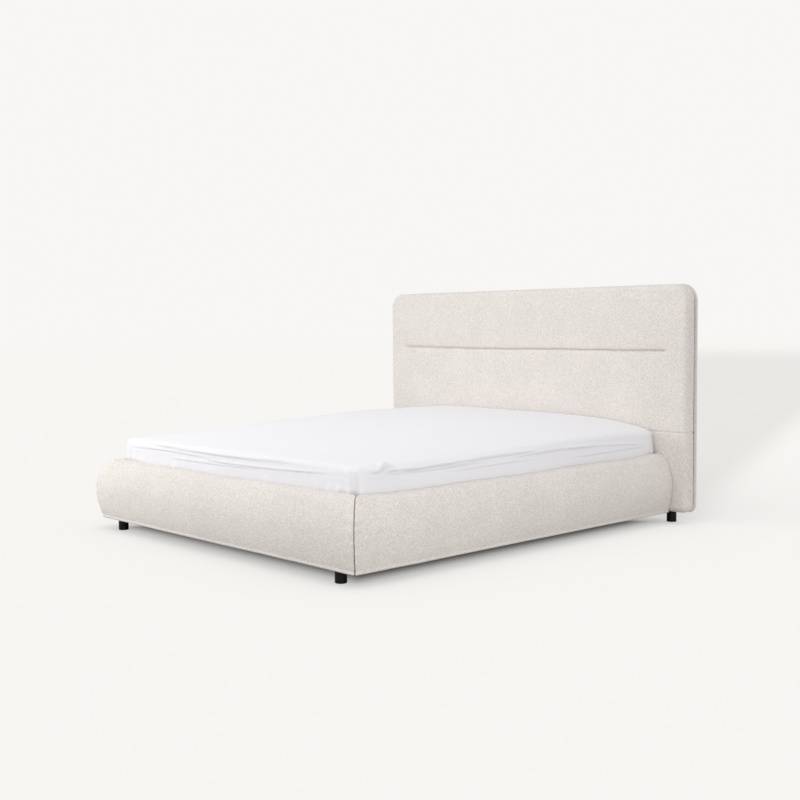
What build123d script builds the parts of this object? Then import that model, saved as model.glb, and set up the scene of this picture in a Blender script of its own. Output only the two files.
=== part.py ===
"""King-size upholstered bed: a wide padded headboard, padded side and foot rails mitred at the
foot corners, sprung slats on a centre beam, and a mattress in a fitted sheet.

Millimetres. +Z is up, +X is to the right seen from the foot end, and +Y runs from foot to head.
The origin is on the floor, under the middle of the whole bed.
"""

from build123d import *
import math
import os

# --- Driving dimensions -------------------------------------------------------------------------
MATTRESS_WIDTH = 1830
MATTRESS_LENGTH = 2030
MATTRESS_HEIGHT = 292
MATTRESS_SIDE_GAP = 5  # each side, to the inner faces of the rails
MATTRESS_END_GAP = 10  # each end

UNDERSIDE = 55  # floor to the underside of the rails, and the height of the front legs
RAIL_TOP = 365
RAIL_DEPTH = 115  # inner face of a rail to the fullest part of its padding
RAIL_FOOT = 86  # inner face to the outer edge of its underside
FULLEST = 208  # height at which the padding is fullest
UPPER_SWELL = 241  # radius of the padding's curve above there
LOWER_SWELL = 440  # and below

HEADBOARD_WIDTH = 2230
HEADBOARD_TOP = 1235
HEADBOARD_THICKNESS = 95
HEADBOARD_TOP_RADIUS = 92
HEADBOARD_FOOT_RADIUS = 35
HEADBOARD_EDGE_ROLL = 30
PLEAT_HEIGHT = 892
PLEAT_HALF_LENGTH = 990
PLEAT_DEPTH = 16
PLEAT_GAP = 3

CLOTH = 2.0
BOARD = 25
SLAT_COUNT = 13
SLAT_WIDTH = 68
SLAT_THICKNESS = 8
SLAT_BOW = 14
SLAT_SEAT = 205  # top of the ledgers and of the centre beam, where the slat holders stand
MATTRESS_RISE = 29  # from there to the underside of the mattress, on the crowns of the slats

# --- Places worked out from them ----------------------------------------------------------------
INNER_X = MATTRESS_WIDTH / 2 + MATTRESS_SIDE_GAP
INNER_LENGTH = MATTRESS_LENGTH + 2 * MATTRESS_END_GAP
BACK_Y = (HEADBOARD_THICKNESS + INNER_LENGTH + RAIL_DEPTH) / 2
HEAD_Y = BACK_Y - HEADBOARD_THICKNESS  # front face of the headboard
FOOT_Y = HEAD_Y - INNER_LENGTH  # inner face of the foot rail
MATTRESS_Y = (HEAD_Y + FOOT_Y) / 2
MATTRESS_Z = SLAT_SEAT + MATTRESS_RISE

# --- Rail padding -------------------------------------------------------------------------------
RAIL_TOP_FLAT = 50  # inner face to where the top starts to round over
RAIL_TOP_ROUND = 22
RAIL_FOOT_ROUND = 6
RAIL_INNER_ROUND = 14
BOARD_LOW = UNDERSIDE + CLOTH
BOARD_HIGH = RAIL_TOP - 28
MITRE_GAP = 0.5
HEAD_GAP = 1.0

# --- Headboard layers, counted from the back ----------------------------------------------------
PIPING_RADIUS = 6.0
PIPING_PROUD = 4  # how far the welt stands out past the cover
PIPING_ROOM = 0.3
HEADBOARD_LOW = UNDERSIDE + 3
BACK_CLOTH_Y = BACK_Y - CLOTH
BACK_CLOTH_INSET = 9
FRAME_DEPTH = 46
FRAME_Y = BACK_CLOTH_Y - FRAME_DEPTH
PANEL = 8
EDGE_FOAM = 22
STILE = 70
BOTTOM_RAIL = 140
MIDDLE_RAIL_Z = 640
MUNTIN_X = 340

# --- Steelwork ----------------------------------------------------------------------------------
STEEL = 3
LEDGER_SIZE = 40
LEDGER_HALF_LENGTH = 950
LEDGER_SCREWS = 7
LEDGER_SCREW_Z = SLAT_SEAT - 24
BEAM_WIDTH = 60
BEAM_HEIGHT = 40
BEAM_WALL = 2
BEAM_END_GAP = 1
BEAM_LOW = SLAT_SEAT - BEAM_HEIGHT
BRACKET_LOW, BRACKET_HIGH = 95, 225
BRACKET_ARM = 60
END_PLATE_ARM = 78
END_PLATE_FLANGE = 45
HANGER_HALF_WIDTH = 56
HANGER_SEAT = 36
HANGER_CHEEK = 30

# --- Fasteners ----------------------------------------------------------------------------------
FIT = 0.1  # radial room round a bolt or screw
FIXING_HEIGHTS = (125, 195)  # of the screws and bolts in the corner and headboard brackets
SCREW_RADIUS = 2.5
SCREW_LENGTH = 22
SCREW_HEAD = 3
CORNER_SCREWS = (22, 46)  # from the corner
END_PLATE_SCREWS = (30, 60)  # from the headboard
HANGER_SCREW_X = 42
HANGER_SCREW_Z = SLAT_SEAT - 20
BOLT_RADIUS = 4.0
BOLT_X = INNER_X - STEEL - END_PLATE_FLANGE / 2
BOLT_HEAD = 5.5
BOLT_ACROSS = 13
WASHER = 1.6
WASHER_RADIUS = 8.5
TEE_NUT_BARREL = 12
TEE_NUT_RADIUS = 5.5
TEE_NUT_FLANGE = 1.5
TEE_NUT_FLANGE_RADIUS = 11

# --- Legs ---------------------------------------------------------------------------------------
LEG_RADIUS = 25
LEG_EDGE = 3
FRONT_LEG_X = 870
FRONT_LEG_Y = FOOT_Y - 44
REAR_LEG_X = 990
REAR_LEG_Y = BACK_Y - 42
STUD_RADIUS = 4.0
STUD_SUNK = 20
STUD_RISE = 36
LEG_BLOCK = (90, 36, 40)
CENTRE_LEG_YS = (-620, 0, 620)
CENTRE_LEG_RADIUS = 15
CENTRE_LEG_WALL = 2
CENTRE_LEG_LOW = 40
CENTRE_PLATE = (60, 50)
CENTRE_BOLT_X = 22
CENTRE_BOLT_RADIUS = 3.0
PLUG = 14
ROD_RADIUS = 5.0
ROD_TOP = 78
THREAD_FIT = 0.05
PAD_RADIUS = 22
PAD = 8
PAD_NUT = 6
PAD_NUT_ACROSS = 17

# --- Slats and their holders --------------------------------------------------------------------
HOLDER_HEIGHT = 20
HOLDER_DEPTH = 46
HOLDER_WALL = 3.5
SOCKET_ROOM = 0.6
SOCKET_HEADROOM = 3.4
SLAT_LOW = SLAT_SEAT + 5
SLAT_INNER_END = 12
SLAT_OUTER_END = INNER_X - 12
SLAT_REACH = LEDGER_HALF_LENGTH - 45

# --- Mattress and sheet -------------------------------------------------------------------------
MATTRESS_CORNER = 70
MATTRESS_EDGE = 25
MATTRESS_SHOULDER = 45  # radius of the upper edges
MATTRESS_FALL = 56  # how far the top comes down towards the foot end
MATTRESS_FALL_LENGTH = 1100
SHEET = 1.4
SHEET_AIR = 0.3
SHEET_HEM = 90

parts = {}


# --- Small helpers ------------------------------------------------------------------------------
def block(low, high):
    """A box between two opposite corners."""
    size = [h - l for l, h in zip(low, high)]
    centre = [(h + l) / 2 for l, h in zip(low, high)]
    return Pos(*centre) * Box(*size)


def rod(start, length, radius, axis="z"):
    """A round bar from start along an axis, or back along it with a negative length."""
    middle = list(start)
    middle["xyz".index(axis)] += length / 2
    turns = {"x": (0, 90, 0), "y": (90, 0, 0), "z": (0, 0, 0)}
    return Pos(*middle) * Rot(*turns[axis]) * Cylinder(radius, abs(length))


def hexagon(start, length, across, direction):
    """A hexagonal head or nut that starts at start and runs along the direction."""
    plane = Plane(origin=start, z_dir=direction)
    return extrude(plane * RegularPolygon(across / 2, 6, major_radius=False), length)


def both_sides(shape):
    """The shape and its mirror image across the middle of the bed."""
    return [shape, mirror(shape, about=Plane.YZ)]


def without(shape, cutters):
    """The shape with every cutter taken out of it."""
    for cutter in cutters:
        shape = shape - cutter
    return shape


def save(name, shapes):
    """Keeps one sub-part: a solid, or a group of separate solids."""
    listed = shapes if isinstance(shapes, (list, tuple)) else [shapes]
    solids = [solid for shape in listed for solid in shape.solids()]
    parts[name] = solids[0] if len(solids) == 1 else Compound(children=solids)


def save_pair(name, shape):
    """Keeps a right-hand sub-part and its left-hand mirror image."""
    right, left = both_sides(shape)
    save(f"right_{name}", right)
    save(f"left_{name}", left)


# --- Padded rails -------------------------------------------------------------------------------
def swell(height):
    """How far the padding of a rail reaches out from its inner face at this height."""
    radius = UPPER_SWELL if height > FULLEST else LOWER_SWELL
    return RAIL_DEPTH - radius + math.sqrt(radius**2 - (height - FULLEST) ** 2)


def swell_arc(low, high):
    heights = (low, (low + high) / 2, high)
    return ThreePointArc(*[(swell(height), height) for height in heights])


def rail_section(plane):
    """Barrel-shaped section of a padded rail: local X outwards from its inner face, local Y up."""
    low, high = UNDERSIDE + RAIL_FOOT_ROUND, RAIL_TOP - RAIL_TOP_ROUND
    shoulder = RAIL_TOP - RAIL_INNER_ROUND
    outline = [
        Line((0, UNDERSIDE), (RAIL_FOOT, UNDERSIDE)),
        TangentArc((RAIL_FOOT, UNDERSIDE), (swell(low), low), tangent=(1, 0)),
        swell_arc(low, FULLEST),
        swell_arc(FULLEST, high),
        TangentArc((RAIL_TOP_FLAT, RAIL_TOP), (swell(high), high), tangent=(1, 0)),
        Line((RAIL_TOP_FLAT, RAIL_TOP), (RAIL_INNER_ROUND, RAIL_TOP)),
        TangentArc((RAIL_INNER_ROUND, RAIL_TOP), (0, shoulder), tangent=(-1, 0)),
        Line((0, shoulder), (0, UNDERSIDE)),
    ]
    return plane * make_face(Curve() + outline)


def rail_layers(plane, length):
    """Board, foam and cover of a padded rail, all run along the plane's normal."""
    outer = extrude(rail_section(plane), length)
    inner = extrude(offset(rail_section(plane), -CLOTH), length)
    middle = (CLOTH + BOARD / 2, (BOARD_LOW + BOARD_HIGH) / 2)
    board_end = Pos(*middle) * Rectangle(BOARD, BOARD_HIGH - BOARD_LOW)
    board = extrude(plane * board_end, length)
    return {"board": board, "foam": inner - board, "cover": outer - inner}


def mitred(shape, side, keep):
    """The part of a rail on one side of the 45-degree joint at a foot corner."""
    away = MITRE_GAP / 2 if keep is Keep.TOP else -MITRE_GAP / 2
    corner = (side * (INNER_X + away), FOOT_Y + away, 0)
    return split(shape, Plane(origin=corner, z_dir=(side, 1, 0)), keep=keep)


def side_screw_places():
    """Y and Z of each screw in the right-hand rail, which all run in +X."""
    reach = LEDGER_HALF_LENGTH - 60
    steps = [2 * i / (LEDGER_SCREWS - 1) - 1 for i in range(LEDGER_SCREWS)]
    ledger = [(reach * step, LEDGER_SCREW_Z) for step in steps]
    bracket_ys = [FOOT_Y + away for away in CORNER_SCREWS]
    bracket_ys += [HEAD_Y - away for away in END_PLATE_SCREWS]
    return ledger + [(y, z) for y in bracket_ys for z in FIXING_HEIGHTS]


def foot_screw_places():
    """X and Z of each screw in the foot rail, which all run in -Y."""
    corner_xs = [INNER_X - away for away in CORNER_SCREWS]
    right = [(x, z) for x in corner_xs for z in FIXING_HEIGHTS]
    right.append((HANGER_SCREW_X, HANGER_SCREW_Z))
    return right + [(-x, z) for x, z in right]


def screw_hole(start, axis, sign):
    """Room for a wood screw through a steel fitting and into what it is fixed to."""
    begin = list(start)
    begin["xyz".index(axis)] -= sign
    return rod(begin, sign * (SCREW_LENGTH + 2), SCREW_RADIUS + FIT, axis)


def side_screw_holes():
    places = side_screw_places()
    return [screw_hole((INNER_X - STEEL, y, z), "x", 1) for y, z in places]


def foot_screw_holes():
    places = foot_screw_places()
    return [screw_hole((x, FOOT_Y + STEEL, z), "y", -1) for x, z in places]


def side_rails():
    plane = Plane(origin=(INNER_X, HEAD_Y - HEAD_GAP, 0), x_dir=(1, 0, 0), z_dir=(0, -1, 0))
    for layer, shape in rail_layers(plane, INNER_LENGTH + RAIL_DEPTH).items():
        shape = mitred(shape, 1, Keep.TOP)
        if layer != "foam":
            shape = without(shape, side_screw_holes())
        save_pair(f"rail_{layer}", shape)


def leg_block():
    """Hardwood block inside the foot rail, which takes a front leg's stud."""
    width, depth, height = LEG_BLOCK
    face = FOOT_Y - CLOTH - BOARD
    return block(
        (FRONT_LEG_X - width / 2, face - depth, BOARD_LOW),
        (FRONT_LEG_X + width / 2, face, BOARD_LOW + height),
    )


def foot_rail():
    far = INNER_X + RAIL_DEPTH
    plane = Plane(origin=(far, FOOT_Y, 0), x_dir=(0, -1, 0), z_dir=(-1, 0, 0))
    studs = both_sides(stud_hole(FRONT_LEG_X, FRONT_LEG_Y))
    for layer, shape in rail_layers(plane, 2 * far).items():
        shape = mitred(mitred(shape, 1, Keep.BOTTOM), -1, Keep.BOTTOM)
        if layer == "foam":
            shape = without(shape, both_sides(leg_block()))
        else:
            shape = without(shape, [*foot_screw_holes(), *studs])
        save(f"foot_rail_{layer}", shape)
    save("leg_blocks", [without(side, studs) for side in both_sides(leg_block())])


# --- Headboard ----------------------------------------------------------------------------------
def headboard_outline(inset):
    """Upright outline of the headboard's cover, drawn in by this much, rounder at the top."""
    high, low = HEADBOARD_TOP - PIPING_PROUD - inset, HEADBOARD_LOW + inset
    width = HEADBOARD_WIDTH - 2 * PIPING_PROUD - 2 * inset
    face = Pos(0, (high + low) / 2) * Rectangle(width, high - low)
    corners = face.vertices().sort_by(Axis.Y)
    face = fillet(corners[2:], HEADBOARD_TOP_RADIUS - inset)
    corners = face.vertices().sort_by(Axis.Y)
    return fillet(corners[:2], HEADBOARD_FOOT_RADIUS - inset)


def upright(face, y):
    """A face drawn in X and Z, stood up at this y and facing the foot end."""
    return Plane(origin=(0, y, 0), x_dir=(1, 0, 0), z_dir=(0, -1, 0)) * face


def padded_slab(inset, front_y, roll):
    """Form of the padded headboard, with its front edges rolled over."""
    face = upright(headboard_outline(inset), BACK_CLOTH_Y)
    slab = extrude(face, BACK_CLOTH_Y - front_y)
    return fillet(slab.faces().sort_by(Axis.Y)[0].edges(), roll)


def pleat(grow):
    """Room for the sewn pleat that runs across the front of the headboard."""
    half, gap = PLEAT_HALF_LENGTH + grow, PLEAT_GAP / 2 + grow
    return block(
        (-half, HEAD_Y - 1, PLEAT_HEIGHT - gap),
        (half, HEAD_Y + PLEAT_DEPTH + grow, PLEAT_HEIGHT + gap),
    )


def headboard_fixings():
    """Room for the bolts, hanger screws and leg studs that enter the headboard."""
    depth = BACK_CLOTH_Y - HEAD_Y
    holes = both_sides(stud_hole(REAR_LEG_X, REAR_LEG_Y))
    holes += both_sides(rod((HANGER_SCREW_X, HEAD_Y, HANGER_SCREW_Z), depth, SCREW_RADIUS + FIT, "y"))
    for z in FIXING_HEIGHTS:
        holes += both_sides(rod((BOLT_X, HEAD_Y, z), depth, BOLT_RADIUS + FIT, "y"))
    return holes


def tee_nut(z, grow):
    """Threaded nut pressed into the back of the timber frame."""
    flange = rod((BOLT_X, BACK_CLOTH_Y, z), -TEE_NUT_FLANGE, TEE_NUT_FLANGE_RADIUS + grow, "y")
    return flange + rod((BOLT_X, BACK_CLOTH_Y, z), -TEE_NUT_BARREL, TEE_NUT_RADIUS + grow, "y")


def frame_members():
    """Uprights and cross rails of the timber frame inside the headboard."""
    outline = extrude(upright(headboard_outline(EDGE_FOAM), BACK_CLOTH_Y), FRAME_DEPTH)
    box = outline.bounding_box()
    edge, low, high = box.max.X, box.min.Z, box.max.Z
    bands = [
        (low, low + BOTTOM_RAIL),
        (MIDDLE_RAIL_Z - STILE / 2, MIDDLE_RAIL_Z + STILE / 2),
        (high - STILE, high),
    ]

    def member(x0, x1, z0, z1):
        return block((x0, FRAME_Y, z0), (x1, BACK_CLOTH_Y, z1))

    uprights = both_sides(member(edge - STILE, edge, low, high) & outline)
    for below, above in zip(bands, bands[1:]):
        muntin = member(MUNTIN_X - STILE / 2, MUNTIN_X + STILE / 2, below[1], above[0])
        uprights += both_sides(muntin)
    cross_rails = [member(STILE - edge, edge - STILE, z0, z1) for z0, z1 in bands]
    return uprights, cross_rails


def piping(grow):
    """Welt cord round the whole rear edge."""
    outline = headboard_outline(PIPING_RADIUS - PIPING_PROUD)
    path = upright(outline, BACK_CLOTH_Y - PIPING_RADIUS).face().outer_wire()
    return sweep(Plane(path ^ 0) * Circle(PIPING_RADIUS + grow), path)


def headboard():
    outer = padded_slab(0, HEAD_Y, HEADBOARD_EDGE_ROLL) - pleat(0)
    inner = padded_slab(CLOTH, HEAD_Y + CLOTH, HEADBOARD_EDGE_ROLL - CLOTH) - pleat(CLOTH)
    core = extrude(upright(headboard_outline(EDGE_FOAM), BACK_CLOTH_Y), FRAME_DEPTH + PANEL)
    panel = extrude(upright(headboard_outline(EDGE_FOAM), FRAME_Y), PANEL)
    back = extrude(upright(headboard_outline(BACK_CLOTH_INSET), BACK_Y), CLOTH)
    fixings = headboard_fixings()
    edge_room = [*fixings, piping(PIPING_ROOM)]
    uprights, cross_rails = frame_members()
    nut_room = [part for z in FIXING_HEIGHTS for part in both_sides(tee_nut(z, FIT))]
    thread = [rod((BOLT_X, HEAD_Y, z), BACK_Y - HEAD_Y, BOLT_RADIUS + FIT, "y") for z in FIXING_HEIGHTS]
    nuts = [without(tee_nut(z, 0), thread) for z in FIXING_HEIGHTS]
    hem = Plane(origin=(0, BACK_CLOTH_Y - PIPING_RADIUS, 0), z_dir=(0, -1, 0))
    cover = split(without(outer - inner, edge_room), hem, keep=Keep.TOP)
    save("headboard_cover", cover)
    save("headboard_foam", without(inner - core, edge_room))
    save("headboard_panel", without(panel, fixings))
    save("headboard_uprights", uprights)
    save("headboard_cross_rails", [without(rail, [*fixings, *nut_room]) for rail in cross_rails])
    save("headboard_back_cloth", back)
    save("headboard_piping", piping(0))
    save("headboard_tee_nuts", [part for nut in nuts for part in both_sides(nut)])


# --- Steelwork ----------------------------------------------------------------------------------
def ledgers():
    """Steel angles along the side rails, which carry the outer slat holders."""
    low, reach = SLAT_SEAT - LEDGER_SIZE, LEDGER_HALF_LENGTH
    upright_leg = block((INNER_X - STEEL, -reach, low), (INNER_X, reach, SLAT_SEAT))
    shelf = block((INNER_X - LEDGER_SIZE, -reach, SLAT_SEAT - STEEL), (INNER_X, reach, SLAT_SEAT))
    save_pair("ledger", without(upright_leg + shelf, side_screw_holes()))


def corner_brackets():
    """Steel angles that hold the foot rail to the side rails."""
    side_low = (INNER_X - STEEL, FOOT_Y, BRACKET_LOW)
    foot_low = (INNER_X - BRACKET_ARM, FOOT_Y, BRACKET_LOW)
    bracket = block(side_low, (INNER_X, FOOT_Y + BRACKET_ARM, BRACKET_HIGH))
    bracket += block(foot_low, (INNER_X, FOOT_Y + STEEL, BRACKET_HIGH))
    save_pair("corner_bracket", without(bracket, [*side_screw_holes(), *foot_screw_holes()]))


def headboard_brackets():
    """Steel angles screwed to the side rails and bolted to the headboard."""
    arm_low = (INNER_X - STEEL, HEAD_Y - END_PLATE_ARM, BRACKET_LOW)
    flange_low = (INNER_X - STEEL - END_PLATE_FLANGE, HEAD_Y - STEEL, BRACKET_LOW)
    bracket = block(arm_low, (INNER_X, HEAD_Y, BRACKET_HIGH))
    bracket += block(flange_low, (INNER_X, HEAD_Y, BRACKET_HIGH))
    bolts = [rod((BOLT_X, HEAD_Y + 1, z), -STEEL - 2, BOLT_RADIUS + FIT, "y") for z in FIXING_HEIGHTS]
    save_pair("headboard_bracket", without(bracket, [*side_screw_holes(), *bolts]))


def screw(start, axis, sign, length):
    """A wood screw whose head bears on the steel at start."""
    return rod(start, sign * length, SCREW_RADIUS, axis) + rod(
        start, -sign * SCREW_HEAD, 2 * SCREW_RADIUS, axis
    )


def rail_screws():
    side = [screw((INNER_X - STEEL, y, z), "x", 1, SCREW_LENGTH) for y, z in side_screw_places()]
    foot = [screw((x, FOOT_Y + STEEL, z), "y", -1, SCREW_LENGTH) for x, z in foot_screw_places()]
    save("rail_screws", [part for one in side for part in both_sides(one)] + foot)


def headboard_bolts():
    """Bolts through the brackets and the padding into the tee nuts."""
    face = HEAD_Y - STEEL
    end = BACK_CLOTH_Y - CLOTH
    bolts = []
    for z in FIXING_HEIGHTS:
        bolt = rod((BOLT_X, face, z), end - face, BOLT_RADIUS, "y")
        bolt += rod((BOLT_X, face, z), -WASHER, WASHER_RADIUS, "y")
        bolt += hexagon((BOLT_X, face - WASHER, z), BOLT_HEAD, BOLT_ACROSS, (0, -1, 0))
        bolts += both_sides(bolt)
    save("headboard_bolts", bolts)
    save("hanger_screws", both_sides(screw((HANGER_SCREW_X, face, HANGER_SCREW_Z), "y", 1, end - face)))


def centre_bolt_holes(y):
    low, rise = BEAM_LOW - STEEL - 1, STEEL + BEAM_WALL + 2
    return both_sides(rod((CENTRE_BOLT_X, y, low), rise, CENTRE_BOLT_RADIUS + FIT))


def centre_beam():
    """Rectangular steel tube down the middle, which sits in a saddle at each end."""
    inset = STEEL + BEAM_END_GAP
    y0, y1 = FOOT_Y + inset, HEAD_Y - inset
    half, wall = BEAM_WIDTH / 2, BEAM_WALL
    outside = block((-half, y0, BEAM_LOW), (half, y1, SLAT_SEAT))
    hollow = block(
        (wall - half, y0 - 1, BEAM_LOW + wall), (half - wall, y1 + 1, SLAT_SEAT - wall)
    )
    holes = [hole for y in CENTRE_LEG_YS for hole in centre_bolt_holes(y)]
    save("centre_beam", without(outside, [hollow, *holes]))


def beam_hanger(wall_y, inward):
    """Saddle that hangs one end of the centre beam from a padded wall."""
    half = BEAM_WIDTH / 2 + 0.5
    near, plate, seat = wall_y, wall_y + inward * STEEL, wall_y + inward * HANGER_SEAT
    seat_low, seat_high = min(near, seat), max(near, seat)
    low = BEAM_LOW - STEEL
    saddle = block(
        (-HANGER_HALF_WIDTH, min(near, plate), low - 12),
        (HANGER_HALF_WIDTH, max(near, plate), SLAT_SEAT - 2),
    )
    saddle += block((-half - STEEL, seat_low, low), (half + STEEL, seat_high, BEAM_LOW))
    cheek = block((half, seat_low, low), (half + STEEL, seat_high, BEAM_LOW + HANGER_CHEEK))
    for side in both_sides(cheek):
        saddle += side
    start = (HANGER_SCREW_X, wall_y - 2 * STEEL, HANGER_SCREW_Z)
    return without(saddle, both_sides(rod(start, 4 * STEEL, SCREW_RADIUS + FIT, "y")))


# --- Legs ---------------------------------------------------------------------------------------
def stud_hole(x, y):
    """Room for a leg's stud above the underside of a rail or of the headboard."""
    return rod((x, y, UNDERSIDE - 1), STUD_RISE + 8, STUD_RADIUS + FIT)


def leg(x, y, top):
    """Round plastic leg with a blind hole in its top for the stud."""
    body = rod((x, y, 0), top, LEG_RADIUS)
    sole = body.edges().filter_by(GeomType.CIRCLE).sort_by(Axis.Z)[0]
    return fillet(sole, LEG_EDGE) - rod((x, y, top), -STUD_SUNK, STUD_RADIUS)


def legs():
    save_pair("front_leg", leg(FRONT_LEG_X, FRONT_LEG_Y, UNDERSIDE))
    save_pair("rear_leg", leg(REAR_LEG_X, REAR_LEG_Y, HEADBOARD_LOW))
    length = STUD_SUNK + STUD_RISE
    front = rod((FRONT_LEG_X, FRONT_LEG_Y, UNDERSIDE - STUD_SUNK), length, STUD_RADIUS)
    rear = rod((REAR_LEG_X, REAR_LEG_Y, HEADBOARD_LOW - STUD_SUNK), length, STUD_RADIUS)
    save("leg_studs", both_sides(front) + both_sides(rear))


def centre_leg(y):
    """Steel tube leg under the centre beam, with a top plate and a threaded plug in its foot."""
    plate_x, plate_y = CENTRE_PLATE
    top = BEAM_LOW - STEEL
    plate = block((-plate_x / 2, y - plate_y / 2, top), (plate_x / 2, y + plate_y / 2, BEAM_LOW))
    length = top - CENTRE_LEG_LOW
    bore_radius = CENTRE_LEG_RADIUS - CENTRE_LEG_WALL
    tube = rod((0, y, CENTRE_LEG_LOW), length, CENTRE_LEG_RADIUS)
    tube -= rod((0, y, CENTRE_LEG_LOW + PLUG), length, bore_radius)
    thread = rod((0, y, CENTRE_LEG_LOW - 1), PLUG + 2, ROD_RADIUS + THREAD_FIT)
    return without(tube + plate, [thread, *centre_bolt_holes(y)])


def levelling_foot(y):
    """Pad, hexagon and threaded rod of a centre leg's adjustable foot."""
    pad = rod((0, y, 0), PAD, PAD_RADIUS)
    rim = pad.edges().filter_by(GeomType.CIRCLE).sort_by(Axis.Z)[-1]
    nut = hexagon((0, y, PAD), PAD_NUT, PAD_NUT_ACROSS, (0, 0, 1))
    return fillet(rim, LEG_EDGE) + nut + rod((0, y, PAD), ROD_TOP - PAD, ROD_RADIUS)


def centre_legs():
    bolts = []
    low = BEAM_LOW - STEEL
    for number, y in enumerate(CENTRE_LEG_YS, 1):
        save(f"centre_leg_{number}", centre_leg(y))
        save(f"levelling_foot_{number}", levelling_foot(y))
        bolt = rod((CENTRE_BOLT_X, y, low), 14, CENTRE_BOLT_RADIUS)
        bolts += both_sides(bolt + hexagon((CENTRE_BOLT_X, y, low), 4, 10, (0, 0, -1)))
    save("centre_leg_bolts", bolts)


# --- Slats --------------------------------------------------------------------------------------
def slat_ys():
    return [SLAT_REACH * (2 * i / (SLAT_COUNT - 1) - 1) for i in range(SLAT_COUNT)]


def slat(y):
    """Bent plywood slat on the right-hand side, bowed upwards between its holders."""
    x0, x1 = SLAT_INNER_END, SLAT_OUTER_END
    middle = (x0 + x1) / 2
    low, high = SLAT_LOW, SLAT_LOW + SLAT_THICKNESS
    outline = [
        ThreePointArc((x0, low), (middle, low + SLAT_BOW), (x1, low)),
        Line((x1, low), (x1, high)),
        ThreePointArc((x1, high), (middle, high + SLAT_BOW), (x0, high)),
        Line((x0, high), (x0, low)),
    ]
    return extrude(upright(make_face(Curve() + outline), y + SLAT_WIDTH / 2), SLAT_WIDTH)


def socket(y, x0, x1):
    """The room inside a slat holder."""
    half = SLAT_WIDTH / 2 + SOCKET_ROOM
    low, high = SLAT_LOW - SOCKET_ROOM, SLAT_LOW + SLAT_THICKNESS + SOCKET_HEADROOM
    return block((x0, y - half, low), (x1, y + half, high))


def holder(y, x0, x1):
    half = SLAT_WIDTH / 2 + HOLDER_WALL
    shell = block((x0, y - half, SLAT_SEAT), (x1, y + half, SLAT_SEAT + HOLDER_HEIGHT))
    return fillet(shell.edges().filter_by(Axis.Z), HOLDER_WALL)


def slats():
    """Slats, and the plastic holders on the ledgers and on the centre beam."""
    outer_end = INNER_X - 5
    mouth = outer_end - HOLDER_DEPTH
    outer, middle = [], []
    for number, y in enumerate(slat_ys(), 1):
        save(f"slat_pair_{number:02d}", both_sides(slat(y)))
        outer.append(holder(y, mouth, outer_end) - socket(y, mouth - 1, SLAT_OUTER_END + SOCKET_ROOM))
        inner_socket = socket(y, SLAT_INNER_END - SOCKET_ROOM, HOLDER_DEPTH + 1)
        middle.append(without(holder(y, -HOLDER_DEPTH, HOLDER_DEPTH), both_sides(inner_socket)))
    save("right_slat_holders", outer)
    save("left_slat_holders", [both_sides(one)[1] for one in outer])
    save("centre_slat_holders", middle)


# --- Mattress -----------------------------------------------------------------------------------
def side_outline(grow):
    """Mattress seen from its side: the top curves down towards the foot end."""
    top, end = MATTRESS_HEIGHT + 2 * grow, MATTRESS_LENGTH / 2 + grow
    start = MATTRESS_FALL_LENGTH - MATTRESS_LENGTH / 2
    radius = (MATTRESS_FALL_LENGTH**2 + MATTRESS_FALL**2) / (2 * MATTRESS_FALL)

    def fallen(along):
        return top - radius + math.sqrt(radius**2 - (start - along) ** 2)

    middle = (start - end) / 2
    outline = [
        Line((-end, 0), (end, 0)),
        Line((end, 0), (end, top)),
        Line((end, top), (start, top)),
        ThreePointArc((start, top), (middle, fallen(middle)), (-end, fallen(-end))),
        Line((-end, fallen(-end)), (-end, 0)),
    ]
    face = make_face(Curve() + outline)
    shoulders = [v for v in face.vertices() if v.Y > 1 and abs(v.X) > end - 1]
    return fillet(shoulders, MATTRESS_SHOULDER + grow)


def mattress_form(grow):
    """Mattress with rounded corners and shoulders, grown evenly by this much."""
    half_x, half_y = MATTRESS_WIDTH / 2 + grow, MATTRESS_LENGTH / 2 + grow
    height = MATTRESS_HEIGHT + 2 * grow
    plan = Rectangle(2 * half_x, 2 * half_y)
    plan = fillet(plan.vertices(), MATTRESS_CORNER + grow)
    body = extrude(plan, height + 1)
    body = fillet(body.faces().sort_by(Axis.Z)[0].edges(), MATTRESS_EDGE + grow)
    end_view = Pos(0, height / 2) * Rectangle(2 * half_x, height)
    end_view = fillet(end_view.vertices().sort_by(Axis.Y)[2:], MATTRESS_SHOULDER + grow)
    across = Plane(origin=(-half_x, 0, 0), x_dir=(0, 1, 0), z_dir=(1, 0, 0))
    body = body & extrude(upright(end_view, half_y), 2 * half_y)
    body = body & extrude(across * side_outline(grow), 2 * half_x)
    return Pos(0, MATTRESS_Y, MATTRESS_Z - grow) * body


def mattress():
    half_x, half_y = MATTRESS_WIDTH / 2 - SHEET_HEM, MATTRESS_LENGTH / 2 - SHEET_HEM
    opening = block(
        (-half_x, MATTRESS_Y - half_y, MATTRESS_Z - 5), (half_x, MATTRESS_Y + half_y, MATTRESS_Z + 1)
    )
    save("mattress", mattress_form(0))
    save("fitted_sheet", mattress_form(SHEET_AIR + SHEET) - mattress_form(SHEET_AIR) - opening)


def main():
    side_rails()
    foot_rail()
    headboard()
    ledgers()
    corner_brackets()
    headboard_brackets()
    rail_screws()
    headboard_bolts()
    centre_beam()
    save("foot_beam_hanger", beam_hanger(FOOT_Y, 1))
    save("head_beam_hanger", beam_hanger(HEAD_Y, -1))
    legs()
    centre_legs()
    slats()
    mattress()
    os.makedirs("parts", exist_ok=True)
    for name, shape in parts.items():
        export_step(shape, f"parts/{name}.step")


if __name__ == "__main__":
    main()
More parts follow.
